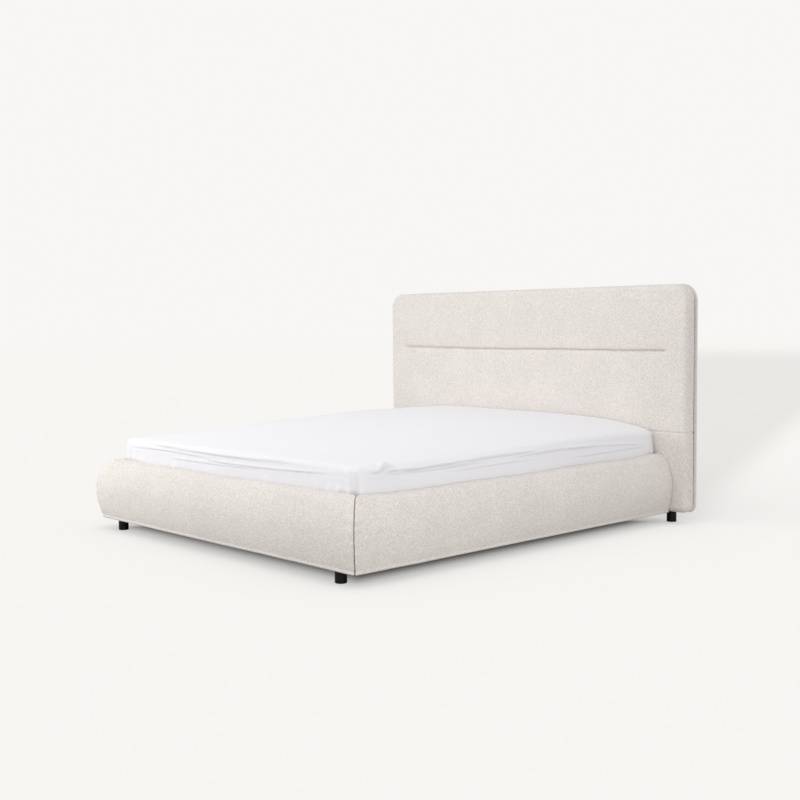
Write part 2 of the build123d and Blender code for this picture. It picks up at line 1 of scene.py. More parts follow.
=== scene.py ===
"""Looks of a king-size bed: bouclé rails and headboard, a fitted sheet on the mattress, and the
timber, steel and plastic underneath, built round the packed frame. Metres; +Z is up, +Y is the
headboard end."""
import math

import bmesh
import bpy
import numpy as np
from bpy.props import FloatProperty, FloatVectorProperty, IntProperty, PointerProperty
from bpy.types import Operator, Panel, PropertyGroup
from mathutils import Matrix, Vector


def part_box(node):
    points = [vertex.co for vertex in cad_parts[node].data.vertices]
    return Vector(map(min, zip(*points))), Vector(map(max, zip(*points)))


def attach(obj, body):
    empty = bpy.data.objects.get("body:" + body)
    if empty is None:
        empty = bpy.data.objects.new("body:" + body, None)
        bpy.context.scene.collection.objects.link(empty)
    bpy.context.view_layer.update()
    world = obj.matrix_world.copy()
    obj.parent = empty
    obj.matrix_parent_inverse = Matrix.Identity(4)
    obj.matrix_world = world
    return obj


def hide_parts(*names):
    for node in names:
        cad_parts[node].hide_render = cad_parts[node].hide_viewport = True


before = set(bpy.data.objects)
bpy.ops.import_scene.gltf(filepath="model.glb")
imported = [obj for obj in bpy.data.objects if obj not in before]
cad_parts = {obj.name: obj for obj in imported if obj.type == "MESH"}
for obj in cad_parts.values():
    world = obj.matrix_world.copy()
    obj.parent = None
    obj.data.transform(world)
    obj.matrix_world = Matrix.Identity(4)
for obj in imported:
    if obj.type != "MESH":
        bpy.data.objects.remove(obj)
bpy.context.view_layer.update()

bl_info = {
    "name": "Padded bouclé bed",
    "version": (1, 0, 0),
    "blender": (4, 5, 0),
    "location": "3D View > Sidebar > Bed",
    "description": "Makes the cloth, padding and finishes of a bed round its packed frame",
    "category": "Add Mesh",
}

# --- Places taken from the frame ----------------------------------------------------------------
FOOT_LOW, FOOT_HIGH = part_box("foot_rail_cover")
SIDE_LOW, SIDE_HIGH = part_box("right_rail_cover")
HEAD_LOW, HEAD_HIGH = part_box("headboard_cover")
WELT_LOW, WELT_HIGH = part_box("headboard_piping")
BACK_LOW, BACK_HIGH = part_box("headboard_back_cloth")
MATTRESS_LOW, MATTRESS_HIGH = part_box("mattress")

INNER_X = SIDE_LOW.x
FOOT_Y = FOOT_HIGH.y
RAIL_LOW, RAIL_HIGH = FOOT_LOW.z, FOOT_HIGH.z
RAIL_DEPTH = FOOT_HIGH.y - FOOT_LOW.y
RAIL_END_Y = SIDE_HIGH.y
HEAD_Y = HEAD_LOW.y
MATTRESS_MIDDLE = (MATTRESS_LOW + MATTRESS_HIGH) / 2

MAIN_BODY = "bed_frame"
MATTRESS_BODY = "mattress"


# --- Details of the sewing, the linen and the lamps, in metres ----------------------------------
MITRE_ROOM = 0.0018  # each rail's share of the gap in a corner seam
SEAM_PUCKER = 0.0016  # height of the puckers along a rail's seams
SEAM_DRAW = 0.0040  # how far a seam draws its cloth in
RAIL_FLAT = 0.050  # width of the flat top of a rail
RAIL_TOP_DROP = 0.022  # how far the rail's top edge falls to its outer curve
RAIL_FOOT_RISE = 0.014  # height of the roll at a rail's foot
RAIL_INNER_ROUND = 0.014  # radius of a rail's inner top edge
RAIL_END_STEPS = 0.024  # length at each end of a rail that has a closer mesh
SEAM_BEFORE_WELT = 0.0105  # the headboard's rear seam to the front of its welt
SEAM_SHADE_CORD_DEPTH = 0.0072  # depth of the seam's dark cord, painted shade in the seam, in from the headboard's sides
SEAM_SHADE_CORD_RADIUS = 0.0038
HEAD_MESH_STEP = 0.0056  # distance between mesh points on the headboard's face
STAPLE_PITCH = 0.055
QUILT_PITCH = 0.15
QUILT_DEPTH = 0.0045
SETTLE_LIMIT = 0.016  # furthest that the settling cloth may move
SHEET_CLEARANCE = 0.0024  # how far a fold may dip towards the mattress

# A crease's start and end along the mattress, its heights there from the top edge of the side, its
# width, its rise and how far its middle bows up.
SIDE_CREASES = (
    (-0.92, -0.35, -0.018, -0.012, 0.0050, 0.0060, -0.012),
    (-0.90, -0.20, -0.034, -0.030, 0.0045, 0.0042, -0.008),
    (-0.60, 0.15, -0.030, -0.016, 0.0055, 0.0050, 0.006),
    (-0.10, 0.60, -0.036, -0.030, 0.0050, 0.0044, 0.010),
    (0.20, 0.95, -0.020, -0.050, 0.0055, 0.0040, 0.006),
    (-0.50, 0.10, -0.062, -0.054, 0.0045, 0.0030, 0.004),
    (0.35, 0.98, -0.070, -0.060, 0.0050, 0.0030, 0.0),
)
END_CREASES = (
    (-0.70, 0.60, -0.012, -0.012, 0.0045, 0.0048, -0.006),
    (-0.85, -0.10, -0.034, -0.040, 0.0060, 0.0040, 0.006),
    (-0.20, 0.80, -0.050, -0.030, 0.0055, 0.0040, -0.008),
    (-0.50, 0.30, -0.066, -0.060, 0.0050, 0.0034, 0.0),
)
# A tuck's place across the foot end, its width and its rise.
TUCKS = ((0.80, 0.006, 0.0110), (0.735, 0.007, 0.0130), (0.66, 0.006, 0.0110), (0.30, 0.008, 0.0060),
         (-0.45, 0.008, 0.0080), (-0.52, 0.007, 0.0070))

LAMPS = (  # name, place, aim, width, watts, spread in degrees
    ("key", (-2.9, -3.4, 1.5), (-0.9, -1.0, 0.3), 2.0, 54.0, 180.0),
    ("top", (0.2, -1.6, 4.4), (0.0, 0.2, 0.6), 3.2, 30.0, 180.0),
    ("side", (4.6, -2.2, 0.9), (1.0, -0.5, 0.3), 1.6, 6.8, 80.0),
)


# --- Sizes and colours that a user would change -------------------------------------------------
class BedPadding(PropertyGroup):
    """Shape of the padded rails and headboard."""

    rail_fullest: FloatProperty(
        name="Fullest height", description="Height at which a rail's padding is fullest",
        default=0.208, unit="LENGTH")
    rail_upper_swell: FloatProperty(
        name="Upper swell", description="Radius of a rail's curve above its fullest height",
        default=0.241, unit="LENGTH")
    rail_lower_swell: FloatProperty(
        name="Lower swell", description="Radius of a rail's curve below its fullest height",
        default=0.440, unit="LENGTH")
    rail_foot: FloatProperty(
        name="Rail foot", description="Width of the flat underside of a rail",
        default=0.086, unit="LENGTH")
    mesh_step: FloatProperty(
        name="Mesh step", description="Distance between mesh points on the cloth that shows",
        default=0.0038, unit="LENGTH")
    puff: FloatProperty(
        name="Unevenness", description="How far the filling makes the cloth of a rail rise and fall",
        default=0.0032, unit="LENGTH")
    sag: FloatProperty(
        name="Sag", description="How far the top of a rail sinks between its ends",
        default=0.014, unit="LENGTH")
    seam_round: FloatProperty(
        name="Seam rounding", description="Radius to which a rail's cover turns in at a corner seam",
        default=0.006, unit="LENGTH")
    head_roll: FloatProperty(
        name="Headboard roll", description="Radius of the headboard's rolled front edge",
        default=0.028, unit="LENGTH")
    head_top_radius: FloatProperty(
        name="Top corner radius", description="Radius of the headboard's top corners",
        default=0.084, unit="LENGTH")
    head_foot_radius: FloatProperty(
        name="Foot corner radius", description="Radius of the headboard's bottom corners",
        default=0.038, unit="LENGTH")
    pleat_height: FloatProperty(
        name="Pleat height", description="Height of the sewn pleat across the headboard",
        default=0.892, unit="LENGTH")
    pleat_half_length: FloatProperty(
        name="Pleat half length", description="Middle of the headboard to an end of the pleat",
        default=0.990, unit="LENGTH")
    pleat_depth: FloatProperty(
        name="Pleat depth", description="How deep the pleat is drawn in",
        default=0.014, unit="LENGTH")
    join_height: FloatProperty(
        name="Join height", description="Height of the seam that joins the headboard's two cloths",
        default=0.470, unit="LENGTH")
    head_puff: FloatProperty(
        name="Headboard crown", description="How far the headboard's padding rises between seams",
        default=0.009, unit="LENGTH")
    nub_size: FloatProperty(
        name="Nub size", description="Size of one curl of the bouclé pile",
        default=0.0068, unit="LENGTH")
    nub_height: FloatProperty(
        name="Nub height", description="How far the curls of the pile rise and fall",
        default=0.0011, unit="LENGTH")


class BedLinen(PropertyGroup):
    """Shape of the mattress and of the sheet on it."""

    corner: FloatProperty(
        name="Corner radius", description="Radius of the mattress's upright corners",
        default=0.045, unit="LENGTH")
    edge: FloatProperty(
        name="Edge radius", description="Radius of the mattress's top and bottom edges",
        default=0.018, unit="LENGTH")
    side_height: FloatProperty(
        name="Side height", description="Height of the mattress's upright sides",
        default=0.230, unit="LENGTH")
    crown: FloatProperty(
        name="Crown", description="How far the top of the mattress rises in its middle",
        default=0.064, unit="LENGTH")
    hem: FloatProperty(
        name="Hem", description="How far the sheet reaches in under the mattress",
        default=0.090, unit="LENGTH")
    sheet_gap: FloatProperty(
        name="Sheet gap", description="Distance of the sheet from the mattress",
        default=0.0025, unit="LENGTH")
    sheet_thickness: FloatProperty(
        name="Sheet thickness", description="Thickness of the sheet",
        default=0.0008, unit="LENGTH")
    slack: FloatProperty(
        name="Slack", description="How much longer the sheet is cut than the mattress needs",
        default=0.035, subtype="FACTOR")
    frames: IntProperty(
        name="Frames", description="Steps that the sheet is given to settle in", default=26)


class BedColours(PropertyGroup):
    """Colours of the cloths, woods, metals and plastics."""

    boucle: FloatVectorProperty(
        name="Bouclé", description="Colour of the bouclé", subtype="COLOR",
        default=(0.878, 0.842, 0.812))
    # painted shade: the colour deep between the curls stands in for the shadow there
    boucle_shade: FloatVectorProperty(
        name="Bouclé shade", description="Colour deep between the curls", subtype="COLOR",
        default=(0.722, 0.676, 0.638))
    sheet: FloatVectorProperty(
        name="Sheet", description="Colour of the fitted sheet", subtype="COLOR",
        default=(0.90, 0.90, 0.935))
    ticking: FloatVectorProperty(
        name="Ticking", description="Colour of the mattress cloth", subtype="COLOR",
        default=(0.80, 0.79, 0.77))
    back_cloth: FloatVectorProperty(
        name="Back cloth", description="Colour of the cloth behind the headboard", subtype="COLOR",
        default=(0.036, 0.035, 0.034))
    pine: FloatVectorProperty(
        name="Pine", description="Colour of the frame timber", subtype="COLOR",
        default=(0.56, 0.37, 0.19))
    plywood: FloatVectorProperty(
        name="Plywood", description="Colour of the boards", subtype="COLOR",
        default=(0.50, 0.33, 0.18))
    birch: FloatVectorProperty(
        name="Birch", description="Colour of the slats", subtype="COLOR",
        default=(0.66, 0.47, 0.27))
    steel: FloatVectorProperty(
        name="Painted steel", description="Colour of the powder-coated steel", subtype="COLOR",
        default=(0.018, 0.018, 0.019))
    zinc: FloatVectorProperty(
        name="Zinc", description="Colour of the screws and bolts", subtype="COLOR",
        default=(0.62, 0.62, 0.60))
    plastic: FloatVectorProperty(
        name="Black plastic", description="Colour of the legs and slat holders", subtype="COLOR",
        default=(0.005, 0.005, 0.005))


class BedStage(PropertyGroup):
    """Camera, light and floor."""

    eye: FloatVectorProperty(
        name="Eye", description="Where the camera stands", subtype="TRANSLATION",
        default=(4.4086, -3.9987, 1.0359))
    heading: FloatProperty(
        name="Heading", description="Camera's turn from the bed's length", subtype="ANGLE",
        default=math.radians(47.229))
    dip: FloatProperty(
        name="Dip", description="How far the camera looks down", subtype="ANGLE",
        default=math.radians(3.722))
    roll: FloatProperty(
        name="Roll", description="Camera's tilt about its line of sight", subtype="ANGLE",
        default=math.radians(-0.53))
    lens: FloatProperty(
        name="Lens", description="Focal length", default=51.84, unit="CAMERA")
    floor: FloatVectorProperty(
        name="Floor", description="Colour of the floor and backdrop", subtype="COLOR",
        default=(0.930, 0.922, 0.905))
    surround: FloatProperty(
        name="Surround", description="Strength of the even light from all round",
        default=0.76, subtype="FACTOR")


# --- Noise on mesh points -----------------------------------------------------------------------
def hashed(cells, seed):
    """Three numbers from 0 to 1 for each whole-number cell, the same on every run."""
    x, y, z = (cells[..., k].astype(np.int64).astype(np.uint64) for k in range(3))
    mix = x * np.uint64(73856093) ^ y * np.uint64(19349663) ^ z * np.uint64(83492791)
    mix ^= np.uint64(seed * 2654435761)
    out = []
    for turn in range(3):
        mix = (mix ^ (mix >> np.uint64(15))) * np.uint64(0x2C1B3C6D)
        mix = (mix ^ (mix >> np.uint64(12))) & np.uint64(0xFFFFFFFF)
        out.append(mix.astype(float) / 0xFFFFFFFF)
    return np.stack(out, axis=-1)


def curls(points, size, seed):
    """Height of rounded curls packed side by side: 1 on a curl, 0 between curls."""
    scaled = points / size
    base = np.floor(scaled)
    nearest = np.full(len(points), 9.0)
    for dx in (-1, 0, 1):
        for dy in (-1, 0, 1):
            for dz in (-1, 0, 1):
                cell = base + (dx, dy, dz)
                gap = scaled - cell - hashed(cell, seed)
                nearest = np.minimum(nearest, (gap * gap).sum(axis=1))
    return 1.0 - np.clip(nearest, 0.0, 1.0)


def drift(points, size, seed):
    """Slow noise from -1 to 1 that changes over about this size."""
    scaled = points / size
    base = np.floor(scaled)
    f = scaled - base
    f = f * f * (3.0 - 2.0 * f)
    total = np.zeros(len(points))
    for dx in (0, 1):
        for dy in (0, 1):
            for dz in (0, 1):
                weight = np.where(dx, f[:, 0], 1 - f[:, 0])
                weight = weight * np.where(dy, f[:, 1], 1 - f[:, 1])
                weight = weight * np.where(dz, f[:, 2], 1 - f[:, 2])
                total += weight * hashed(base + (dx, dy, dz), seed)[:, 0]
    return 2.0 * total - 1.0


def pile(points, normals, padding, strength):
    """Points moved along their normals by the curls of the bouclé."""
    size = padding.nub_size
    wander = np.stack([drift(points + k, 2.2 * size, 11 + k) for k in range(3)], axis=1)
    bent = points + 0.35 * size * wander
    height = 0.62 * curls(bent, size, 3) + 0.38 * curls(bent, 0.58 * size, 7)
    height = (height - 0.55) * padding.nub_height * 2.0
    return points + normals * (height * strength)[:, None]


def step(value, low, high):
    """0 below low, 1 above high, and smooth between."""
    t = np.clip((value - low) / (high - low), 0.0, 1.0)
    return t * t * (3.0 - 2.0 * t)


# --- Mesh helpers -------------------------------------------------------------------------------
def add_piece(name, points, faces, material):
    """A smooth-shaded mesh object."""
    mesh = bpy.data.meshes.new(name)
    mesh.from_pydata(np.asarray(points).tolist(), [], faces)
    mesh.validate()
    shell = bmesh.new()
    shell.from_mesh(mesh)
    bmesh.ops.recalc_face_normals(shell, faces=shell.faces)
    shell.to_mesh(mesh)
    shell.free()
    mesh.shade_smooth()
    mesh.materials.append(material)
    piece = bpy.data.objects.new(name, mesh)
    bpy.context.scene.collection.objects.link(piece)
    return piece


def quads(rows, columns, closed, start=0):
    """Faces between rows of points; closed joins each row's last point to its first."""
    across = columns if closed else columns - 1
    r, c = np.meshgrid(np.arange(rows - 1), np.arange(across), indexing="ij")
    n = (c + 1) % columns
    faces = [r * columns + c, r * columns + n, (r + 1) * columns + n, (r + 1) * columns + c]
    return (np.stack(faces, axis=-1).reshape(-1, 4) + start).tolist()


def arc(centre, radius, start, end, spacing):
    """Points on an arc, without its last one."""
    count = max(2, math.ceil(abs(end - start) * radius / spacing))
    angles = np.linspace(start, end, count, endpoint=False)
    return [(centre[0] + radius * math.cos(a), centre[1] + radius * math.sin(a)) for a in angles]


def line(start, end, spacing):
    """Points on a straight line, without its last one."""
    count = max(1, math.ceil(math.dist(start, end) / spacing))
    t = np.linspace(0.0, 1.0, count, endpoint=False)
    return [(start[0] + k * (end[0] - start[0]), start[1] + k * (end[1] - start[1])) for k in t]


def outward(outline):
    """Unit normals of a closed outline that runs clockwise."""
    along = np.roll(outline, -1, axis=0) - np.roll(outline, 1, axis=0)
    normals = np.stack([-along[:, 1], along[:, 0]], axis=1)
    return normals / np.linalg.norm(normals, axis=1, keepdims=True)


# --- Shader helpers -----------------------------------------------------------------------------
def node(tree, kind, **values):
    """A shader node, with its settings and its inputs' values."""
    made = tree.nodes.new(kind)
    for key, value in values.items():
        if key in made.inputs:
            made.inputs[key].default_value = value
        else:
            setattr(made, key, value)
    return made


def sockets(name, inputs, outputs):
    """An empty shader node group with these inputs (name, kind, default) and outputs."""
    group = bpy.data.node_groups.new(name, "ShaderNodeTree")
    for label, kind, default in inputs:
        made = group.interface.new_socket(name=label, in_out="INPUT", socket_type=kind)
        made.default_value = default
    for label, kind in outputs:
        group.interface.new_socket(name=label, in_out="OUTPUT", socket_type=kind)
    return group, group.nodes.new("NodeGroupInput"), group.nodes.new("NodeGroupOutput")


def mix_colour(tree, factor, a, b, blend="MIX"):
    """A colour mix; each of factor, a and b is a socket or a plain value."""
    mixer = tree.nodes.new("ShaderNodeMix")
    mixer.data_type = "RGBA"
    mixer.blend_type = blend
    places = {0: factor, 6: a, 7: b}
    for index, value in places.items():
        if isinstance(value, bpy.types.NodeSocket):
            tree.links.new(value, mixer.inputs[index])
        elif index == 0:
            mixer.inputs[index].default_value = value
        else:
            mixer.inputs[index].default_value = (*value, 1.0)
    return mixer.outputs[2]


def maths(tree, operation, *values):
    """A Math node; each value is a socket or a number."""
    made = tree.nodes.new("ShaderNodeMath")
    made.operation = operation
    for index, value in enumerate(values):
        if isinstance(value, bpy.types.NodeSocket):
            tree.links.new(value, made.inputs[index])
        else:
            made.inputs[index].default_value = value
    return made.outputs[0]


def ramp(tree, value, low, high, out_low=0.0, out_high=1.0):
    """A smooth change of value from out_low to out_high between low and high."""
    made = tree.nodes.new("ShaderNodeMapRange")
    made.interpolation_type = "SMOOTHSTEP"
    tree.links.new(value, made.inputs["Value"])
    made.inputs["From Min"].default_value = low
    made.inputs["From Max"].default_value = high
    made.inputs["To Min"].default_value = out_low
    made.inputs["To Max"].default_value = out_high
    return made.outputs["Result"]


def noise(tree, place, scale, detail=2.0, roughness=0.5):
    """A Noise texture's value at these coordinates."""
    made = node(tree, "ShaderNodeTexNoise", Scale=scale, Detail=detail, Roughness=roughness)
    tree.links.new(place, made.inputs["Vector"])
    return made.outputs["Fac"]


def stretched(tree, place, scale):
    """Coordinates scaled differently along each axis."""
    made = tree.nodes.new("ShaderNodeMapping")
    made.inputs["Scale"].default_value = scale
    tree.links.new(place, made.inputs["Vector"])
    return made.outputs["Vector"]


def curled_pile_group():
    """Bouclé: curls of looped yarn, with painted shade deep between them."""
    group, given, result = sockets(
        "Curled pile",
        [("Colour", "NodeSocketColor", (1, 1, 1, 1)), ("Shade", "NodeSocketColor", (0, 0, 0, 1)),
         ("Curl Scale", "NodeSocketFloat", 110.0)],
        [("Colour", "NodeSocketColor"), ("Height", "NodeSocketFloat")])
    place = group.nodes.new("ShaderNodeTexCoord").outputs["Object"]
    wander = node(group, "ShaderNodeTexNoise", Scale=70.0, Detail=2.0)
    group.links.new(place, wander.inputs["Vector"])
    bend = node(group, "ShaderNodeVectorMath", operation="MULTIPLY_ADD")
    group.links.new(wander.outputs["Color"], bend.inputs[0])
    bend.inputs[1].default_value = (0.014, 0.014, 0.014)
    group.links.new(place, bend.inputs[2])
    bent = bend.outputs["Vector"]

    def cells(scale, feature):
        made = node(group, "ShaderNodeTexVoronoi", feature=feature)
        group.links.new(bent, made.inputs["Vector"])
        group.links.new(scale, made.inputs["Scale"])
        return made.outputs["Distance"]

    wide = given.outputs["Curl Scale"]
    big = ramp(group, cells(wide, "SMOOTH_F1"), 0.05, 0.62, 1.0, 0.0)
    loops = ramp(group, cells(maths(group, "MULTIPLY", wide, 2.9), "F1"), 0.05, 0.60, 1.0, 0.0)
    fibre = noise(group, bent, 1500.0, 3.0, 0.7)
    height = maths(group, "ADD", maths(group, "MULTIPLY", big, 0.55), maths(group, "MULTIPLY", loops, 0.35))
    height = maths(group, "ADD", height, maths(group, "MULTIPLY", fibre, 0.16))
    # painted shade in the hollows between curls: darker where the pile is low
    light = ramp(group, height, 0.05, 0.55)
    colour = mix_colour(group, light, given.outputs["Shade"], given.outputs["Colour"])
    cloudy = ramp(group, noise(group, place, 5.0, 3.0), 0.35, 0.68, 0.975, 1.01)
    value = node(group, "ShaderNodeHueSaturation")
    group.links.new(colour, value.inputs["Color"])
    group.links.new(cloudy, value.inputs["Value"])
    group.links.new(value.outputs["Color"], result.inputs["Colour"])
    group.links.new(height, result.inputs["Height"])
    return group


def plain_weave_group():
    """Plain woven cloth: crossed threads with slubs."""
    group, given, result = sockets(
        "Plain weave",
        [("Colour", "NodeSocketColor", (1, 1, 1, 1)), ("Thread Scale", "NodeSocketFloat", 900.0),
         ("Contrast", "NodeSocketFloat", 0.2)],
        [("Colour", "NodeSocketColor"), ("Height", "NodeSocketFloat")])
    place = group.nodes.new("ShaderNodeTexCoord").outputs["Object"]
    facing = node(group, "ShaderNodeSeparateXYZ")
    group.links.new(group.nodes.new("ShaderNodeNewGeometry").outputs["Normal"], facing.inputs["Vector"])
    crossed = 0.0
    for direction in ("X", "Y", "Z"):
        threads = node(group, "ShaderNodeTexWave", wave_type="BANDS", bands_direction=direction,
                       Distortion=0.6, Detail=1.0)
        group.links.new(place, threads.inputs["Vector"])
        group.links.new(given.outputs["Thread Scale"], threads.inputs["Scale"])
        flat = ramp(group, maths(group, "ABSOLUTE", facing.outputs[direction]), 0.45, 0.75, 0.5, 0.0)
        crossed = maths(group, "ADD", crossed, maths(group, "MULTIPLY", threads.outputs["Fac"], flat))
    slub = noise(group, stretched(group, place, (1.0, 6.0, 6.0)), 60.0, 3.0)
    height = maths(group, "ADD", crossed, maths(group, "MULTIPLY", slub, 0.5))
    dark = maths(group, "MULTIPLY", ramp(group, height, 0.3, 1.0, 1.0, 0.0), given.outputs["Contrast"])
    colour = mix_colour(group, dark, given.outputs["Colour"], (0.0, 0.0, 0.0))
    group.links.new(colour, result.inputs["Colour"])
    group.links.new(height, result.inputs["Height"])
    return group


def wood_grain_group():
    """Long grain with darker late wood, pores and paler stretches."""
    group, given, result = sockets(
        "Wood grain",
        [("Colour", "NodeSocketColor", (1, 1, 1, 1)), ("Along", "NodeSocketVector", (1, 12, 12)),
         ("Contrast", "NodeSocketFloat", 0.5)],
        [("Colour", "NodeSocketColor"), ("Height", "NodeSocketFloat"), ("Roughness", "NodeSocketFloat")])
    place = group.nodes.new("ShaderNodeTexCoord").outputs["Object"]
    along = node(group, "ShaderNodeVectorMath", operation="MULTIPLY")
    group.links.new(place, along.inputs[0])
    group.links.new(given.outputs["Along"], along.inputs[1])
    run = along.outputs["Vector"]
    rings = node(group, "ShaderNodeTexWave", wave_type="RINGS", Scale=1.3, Distortion=9.0, Detail=3.0)
    rings.inputs["Detail Scale"].default_value = 1.4
    group.links.new(run, rings.inputs["Vector"])
    pores = noise(group, run, 60.0, 4.0, 0.7)
    tone = noise(group, run, 1.6, 2.0)
    late = maths(group, "MULTIPLY", maths(group, "POWER", rings.outputs["Fac"], 2.2), given.outputs["Contrast"])
    colour = mix_colour(group, late, given.outputs["Colour"], (0.20, 0.10, 0.04))
    fine = maths(group, "MULTIPLY", ramp(group, pores, 0.50, 0.72), 0.35)
    colour = mix_colour(group, fine, colour, (0.16, 0.09, 0.04))
    pale = ramp(group, tone, 0.35, 0.70, 0.0, 0.25)
    colour = mix_colour(group, pale, colour, (0.85, 0.66, 0.42))
    cut_in = maths(group, "ADD", fine, maths(group, "MULTIPLY", late, 0.4))
    height = maths(group, "SUBTRACT", 1.0, cut_in)
    rough = ramp(group, pores, 0.3, 0.7, 0.52, 0.72)
    group.links.new(colour, result.inputs["Colour"])
    group.links.new(height, result.inputs["Height"])
    group.links.new(rough, result.inputs["Roughness"])
    return group


def fine_grain_group():
    """Slight unevenness of paint, plating or moulded plastic, with dust on what faces up."""
    group, given, result = sockets(
        "Fine grain",
        [("Colour", "NodeSocketColor", (1, 1, 1, 1)), ("Grain Scale", "NodeSocketFloat", 700.0),
         ("Wear", "NodeSocketFloat", 0.2), ("Smooth", "NodeSocketFloat", 0.35),
         ("Rough", "NodeSocketFloat", 0.55)],
        [("Colour", "NodeSocketColor"), ("Height", "NodeSocketFloat"), ("Roughness", "NodeSocketFloat")])
    place = group.nodes.new("ShaderNodeTexCoord").outputs["Object"]
    grain = node(group, "ShaderNodeTexNoise", Detail=3.0)
    group.links.new(place, grain.inputs["Vector"])
    group.links.new(given.outputs["Grain Scale"], grain.inputs["Scale"])
    cloud = noise(group, place, 18.0, 4.0, 0.65)
    facing = node(group, "ShaderNodeSeparateXYZ")
    group.links.new(group.nodes.new("ShaderNodeNewGeometry").outputs["Normal"], facing.inputs["Vector"])
    up = ramp(group, facing.outputs["Z"], 0.55, 1.0)
    dust = maths(group, "MULTIPLY", maths(group, "MULTIPLY", up, ramp(group, cloud, 0.42, 0.75)),
                 given.outputs["Wear"])
    tone = node(group, "ShaderNodeHueSaturation")
    group.links.new(given.outputs["Colour"], tone.inputs["Color"])
    group.links.new(ramp(group, cloud, 0.3, 0.7, 0.8, 1.5), tone.inputs["Value"])
    mottled = tone.outputs["Color"]
    colour = mix_colour(group, dust, mottled, (0.42, 0.40, 0.37))
    between = node(group, "ShaderNodeMapRange")
    group.links.new(cloud, between.inputs["Value"])
    group.links.new(given.outputs["Smooth"], between.inputs["To Min"])
    group.links.new(given.outputs["Rough"], between.inputs["To Max"])
    group.links.new(colour, result.inputs["Colour"])
    group.links.new(grain.outputs["Fac"], result.inputs["Height"])
    group.links.new(between.outputs["Result"], result.inputs["Roughness"])
    return group


EFFECTS = {
    "curled_pile": curled_pile_group,
    "plain_weave": plain_weave_group,
    "wood_grain": wood_grain_group,
    "fine_grain": fine_grain_group,
}


def effect(name):
    """A shared shader group, built the first time that it is asked for."""
    label = name.replace("_", " ").capitalize()
    return bpy.data.node_groups.get(label) or EFFECTS[name]()


def finish_material(name, effect_name, bump, bump_distance, settings, shader_values):
    """A material whose colour, height and roughness come from a shared effect."""
    made = bpy.data.materials.get(name)
    if made:
        return made
    made = bpy.data.materials.new(name)
    made.use_nodes = True
    tree = made.node_tree
    shader = tree.nodes["Principled BSDF"]
    for key, value in shader_values.items():
        shader.inputs[key].default_value = value
    placed = tree.nodes.new("ShaderNodeGroup")
    placed.node_tree = effect(effect_name)
    for key, value in settings.items():
        placed.inputs[key].default_value = value
    tree.links.new(placed.outputs["Colour"], shader.inputs["Base Color"])
    if "Roughness" in placed.outputs:
        tree.links.new(placed.outputs["Roughness"], shader.inputs["Roughness"])
    raised = node(tree, "ShaderNodeBump", Strength=bump, Distance=bump_distance)
    tree.links.new(placed.outputs["Height"], raised.inputs["Height"])
    tree.links.new(raised.outputs["Normal"], shader.inputs["Normal"])
    return made


def colours():
    """The colours that the user has set."""
    return bpy.context.scene.bed_colours


def opaque(colour):
    """A colour with its fourth value, full cover."""
    return (*colour, 1.0)


def looped_cloth(name, curl_scale, bump):
    """A cloth of looped pile with this fineness and depth of curl."""
    c = colours()
    settings = {"Colour": opaque(c.boucle), "Shade": opaque(c.boucle_shade), "Curl Scale": curl_scale}
    shader = {"Roughness": 0.95, "Sheen Weight": 0.08, "Sheen Roughness": 0.6,
              "Specular IOR Level": 0.12}
    return finish_material(name, "curled_pile", bump, 0.0020, settings, shader)


def boucle_cloth():
    return looped_cloth("boucle cloth", 170.0, 0.5)


def welt_cloth():
    return looped_cloth("welt cloth", 190.0, 0.6)


def sheet_cotton():
    settings = {"Colour": opaque(colours().sheet), "Thread Scale": 950.0, "Contrast": 0.05}
    shader = {"Roughness": 0.85, "Sheen Weight": 0.12, "Specular IOR Level": 0.25}
    return finish_material("sheet cotton", "plain_weave", 0.12, 0.0006, settings, shader)


def ticking_cloth():
    settings = {"Colour": opaque(colours().ticking), "Thread Scale": 420.0, "Contrast": 0.16}
    shader = {"Roughness": 0.9, "Sheen Weight": 0.1, "Specular IOR Level": 0.2}
    return finish_material("ticking cloth", "plain_weave", 0.3, 0.001, settings, shader)


def lining_cloth():
    settings = {"Colour": opaque(colours().back_cloth), "Thread Scale": 300.0, "Contrast": 0.35}
    shader = {"Roughness": 0.92, "Sheen Weight": 0.15, "Specular IOR Level": 0.2}
    return finish_material("lining cloth", "plain_weave", 0.4, 0.0012, settings, shader)


def frame_pine():
    settings = {"Colour": opaque(colours().pine), "Along": (1.2, 14.0, 14.0), "Contrast": 0.55}
    return finish_material("frame pine", "wood_grain", 0.35, 0.001, settings, {})


def upright_pine():
    settings = {"Colour": opaque(colours().pine), "Along": (14.0, 14.0, 1.2), "Contrast": 0.55}
    return finish_material("upright pine", "wood_grain", 0.35, 0.001, settings, {})


def board_plywood():
    settings = {"Colour": opaque(colours().plywood), "Along": (3.0, 3.0, 10.0), "Contrast": 0.4}
    return finish_material("board plywood", "wood_grain", 0.3, 0.001, settings, {})


def slat_birch():
    settings = {"Colour": opaque(colours().birch), "Along": (1.5, 16.0, 40.0), "Contrast": 0.3}
    return finish_material("slat birch", "wood_grain", 0.2, 0.0006, settings, {"Coat Weight": 0.15})


def coated_steel():
    settings = {"Colour": opaque(colours().steel), "Grain Scale": 900.0, "Wear": 0.25,
                "Smooth": 0.34, "Rough": 0.5}
    return finish_material("coated steel", "fine_grain", 0.25, 0.0004, settings, {"Metallic": 0.2})


def zinc_plate():
    settings = {"Colour": opaque(colours().zinc), "Grain Scale": 1400.0, "Wear": 0.1,
                "Smooth": 0.25, "Rough": 0.45}
    return finish_material("zinc plate", "fine_grain", 0.2, 0.0003, settings, {"Metallic": 1.0})


def moulded_plastic():
    settings = {"Colour": opaque(colours().plastic), "Grain Scale": 1100.0, "Wear": 0.05,
                "Smooth": 0.38, "Rough": 0.55}
    return finish_material("moulded plastic", "fine_grain", 0.3, 0.0004, settings,
                           {"Specular IOR Level": 0.22})


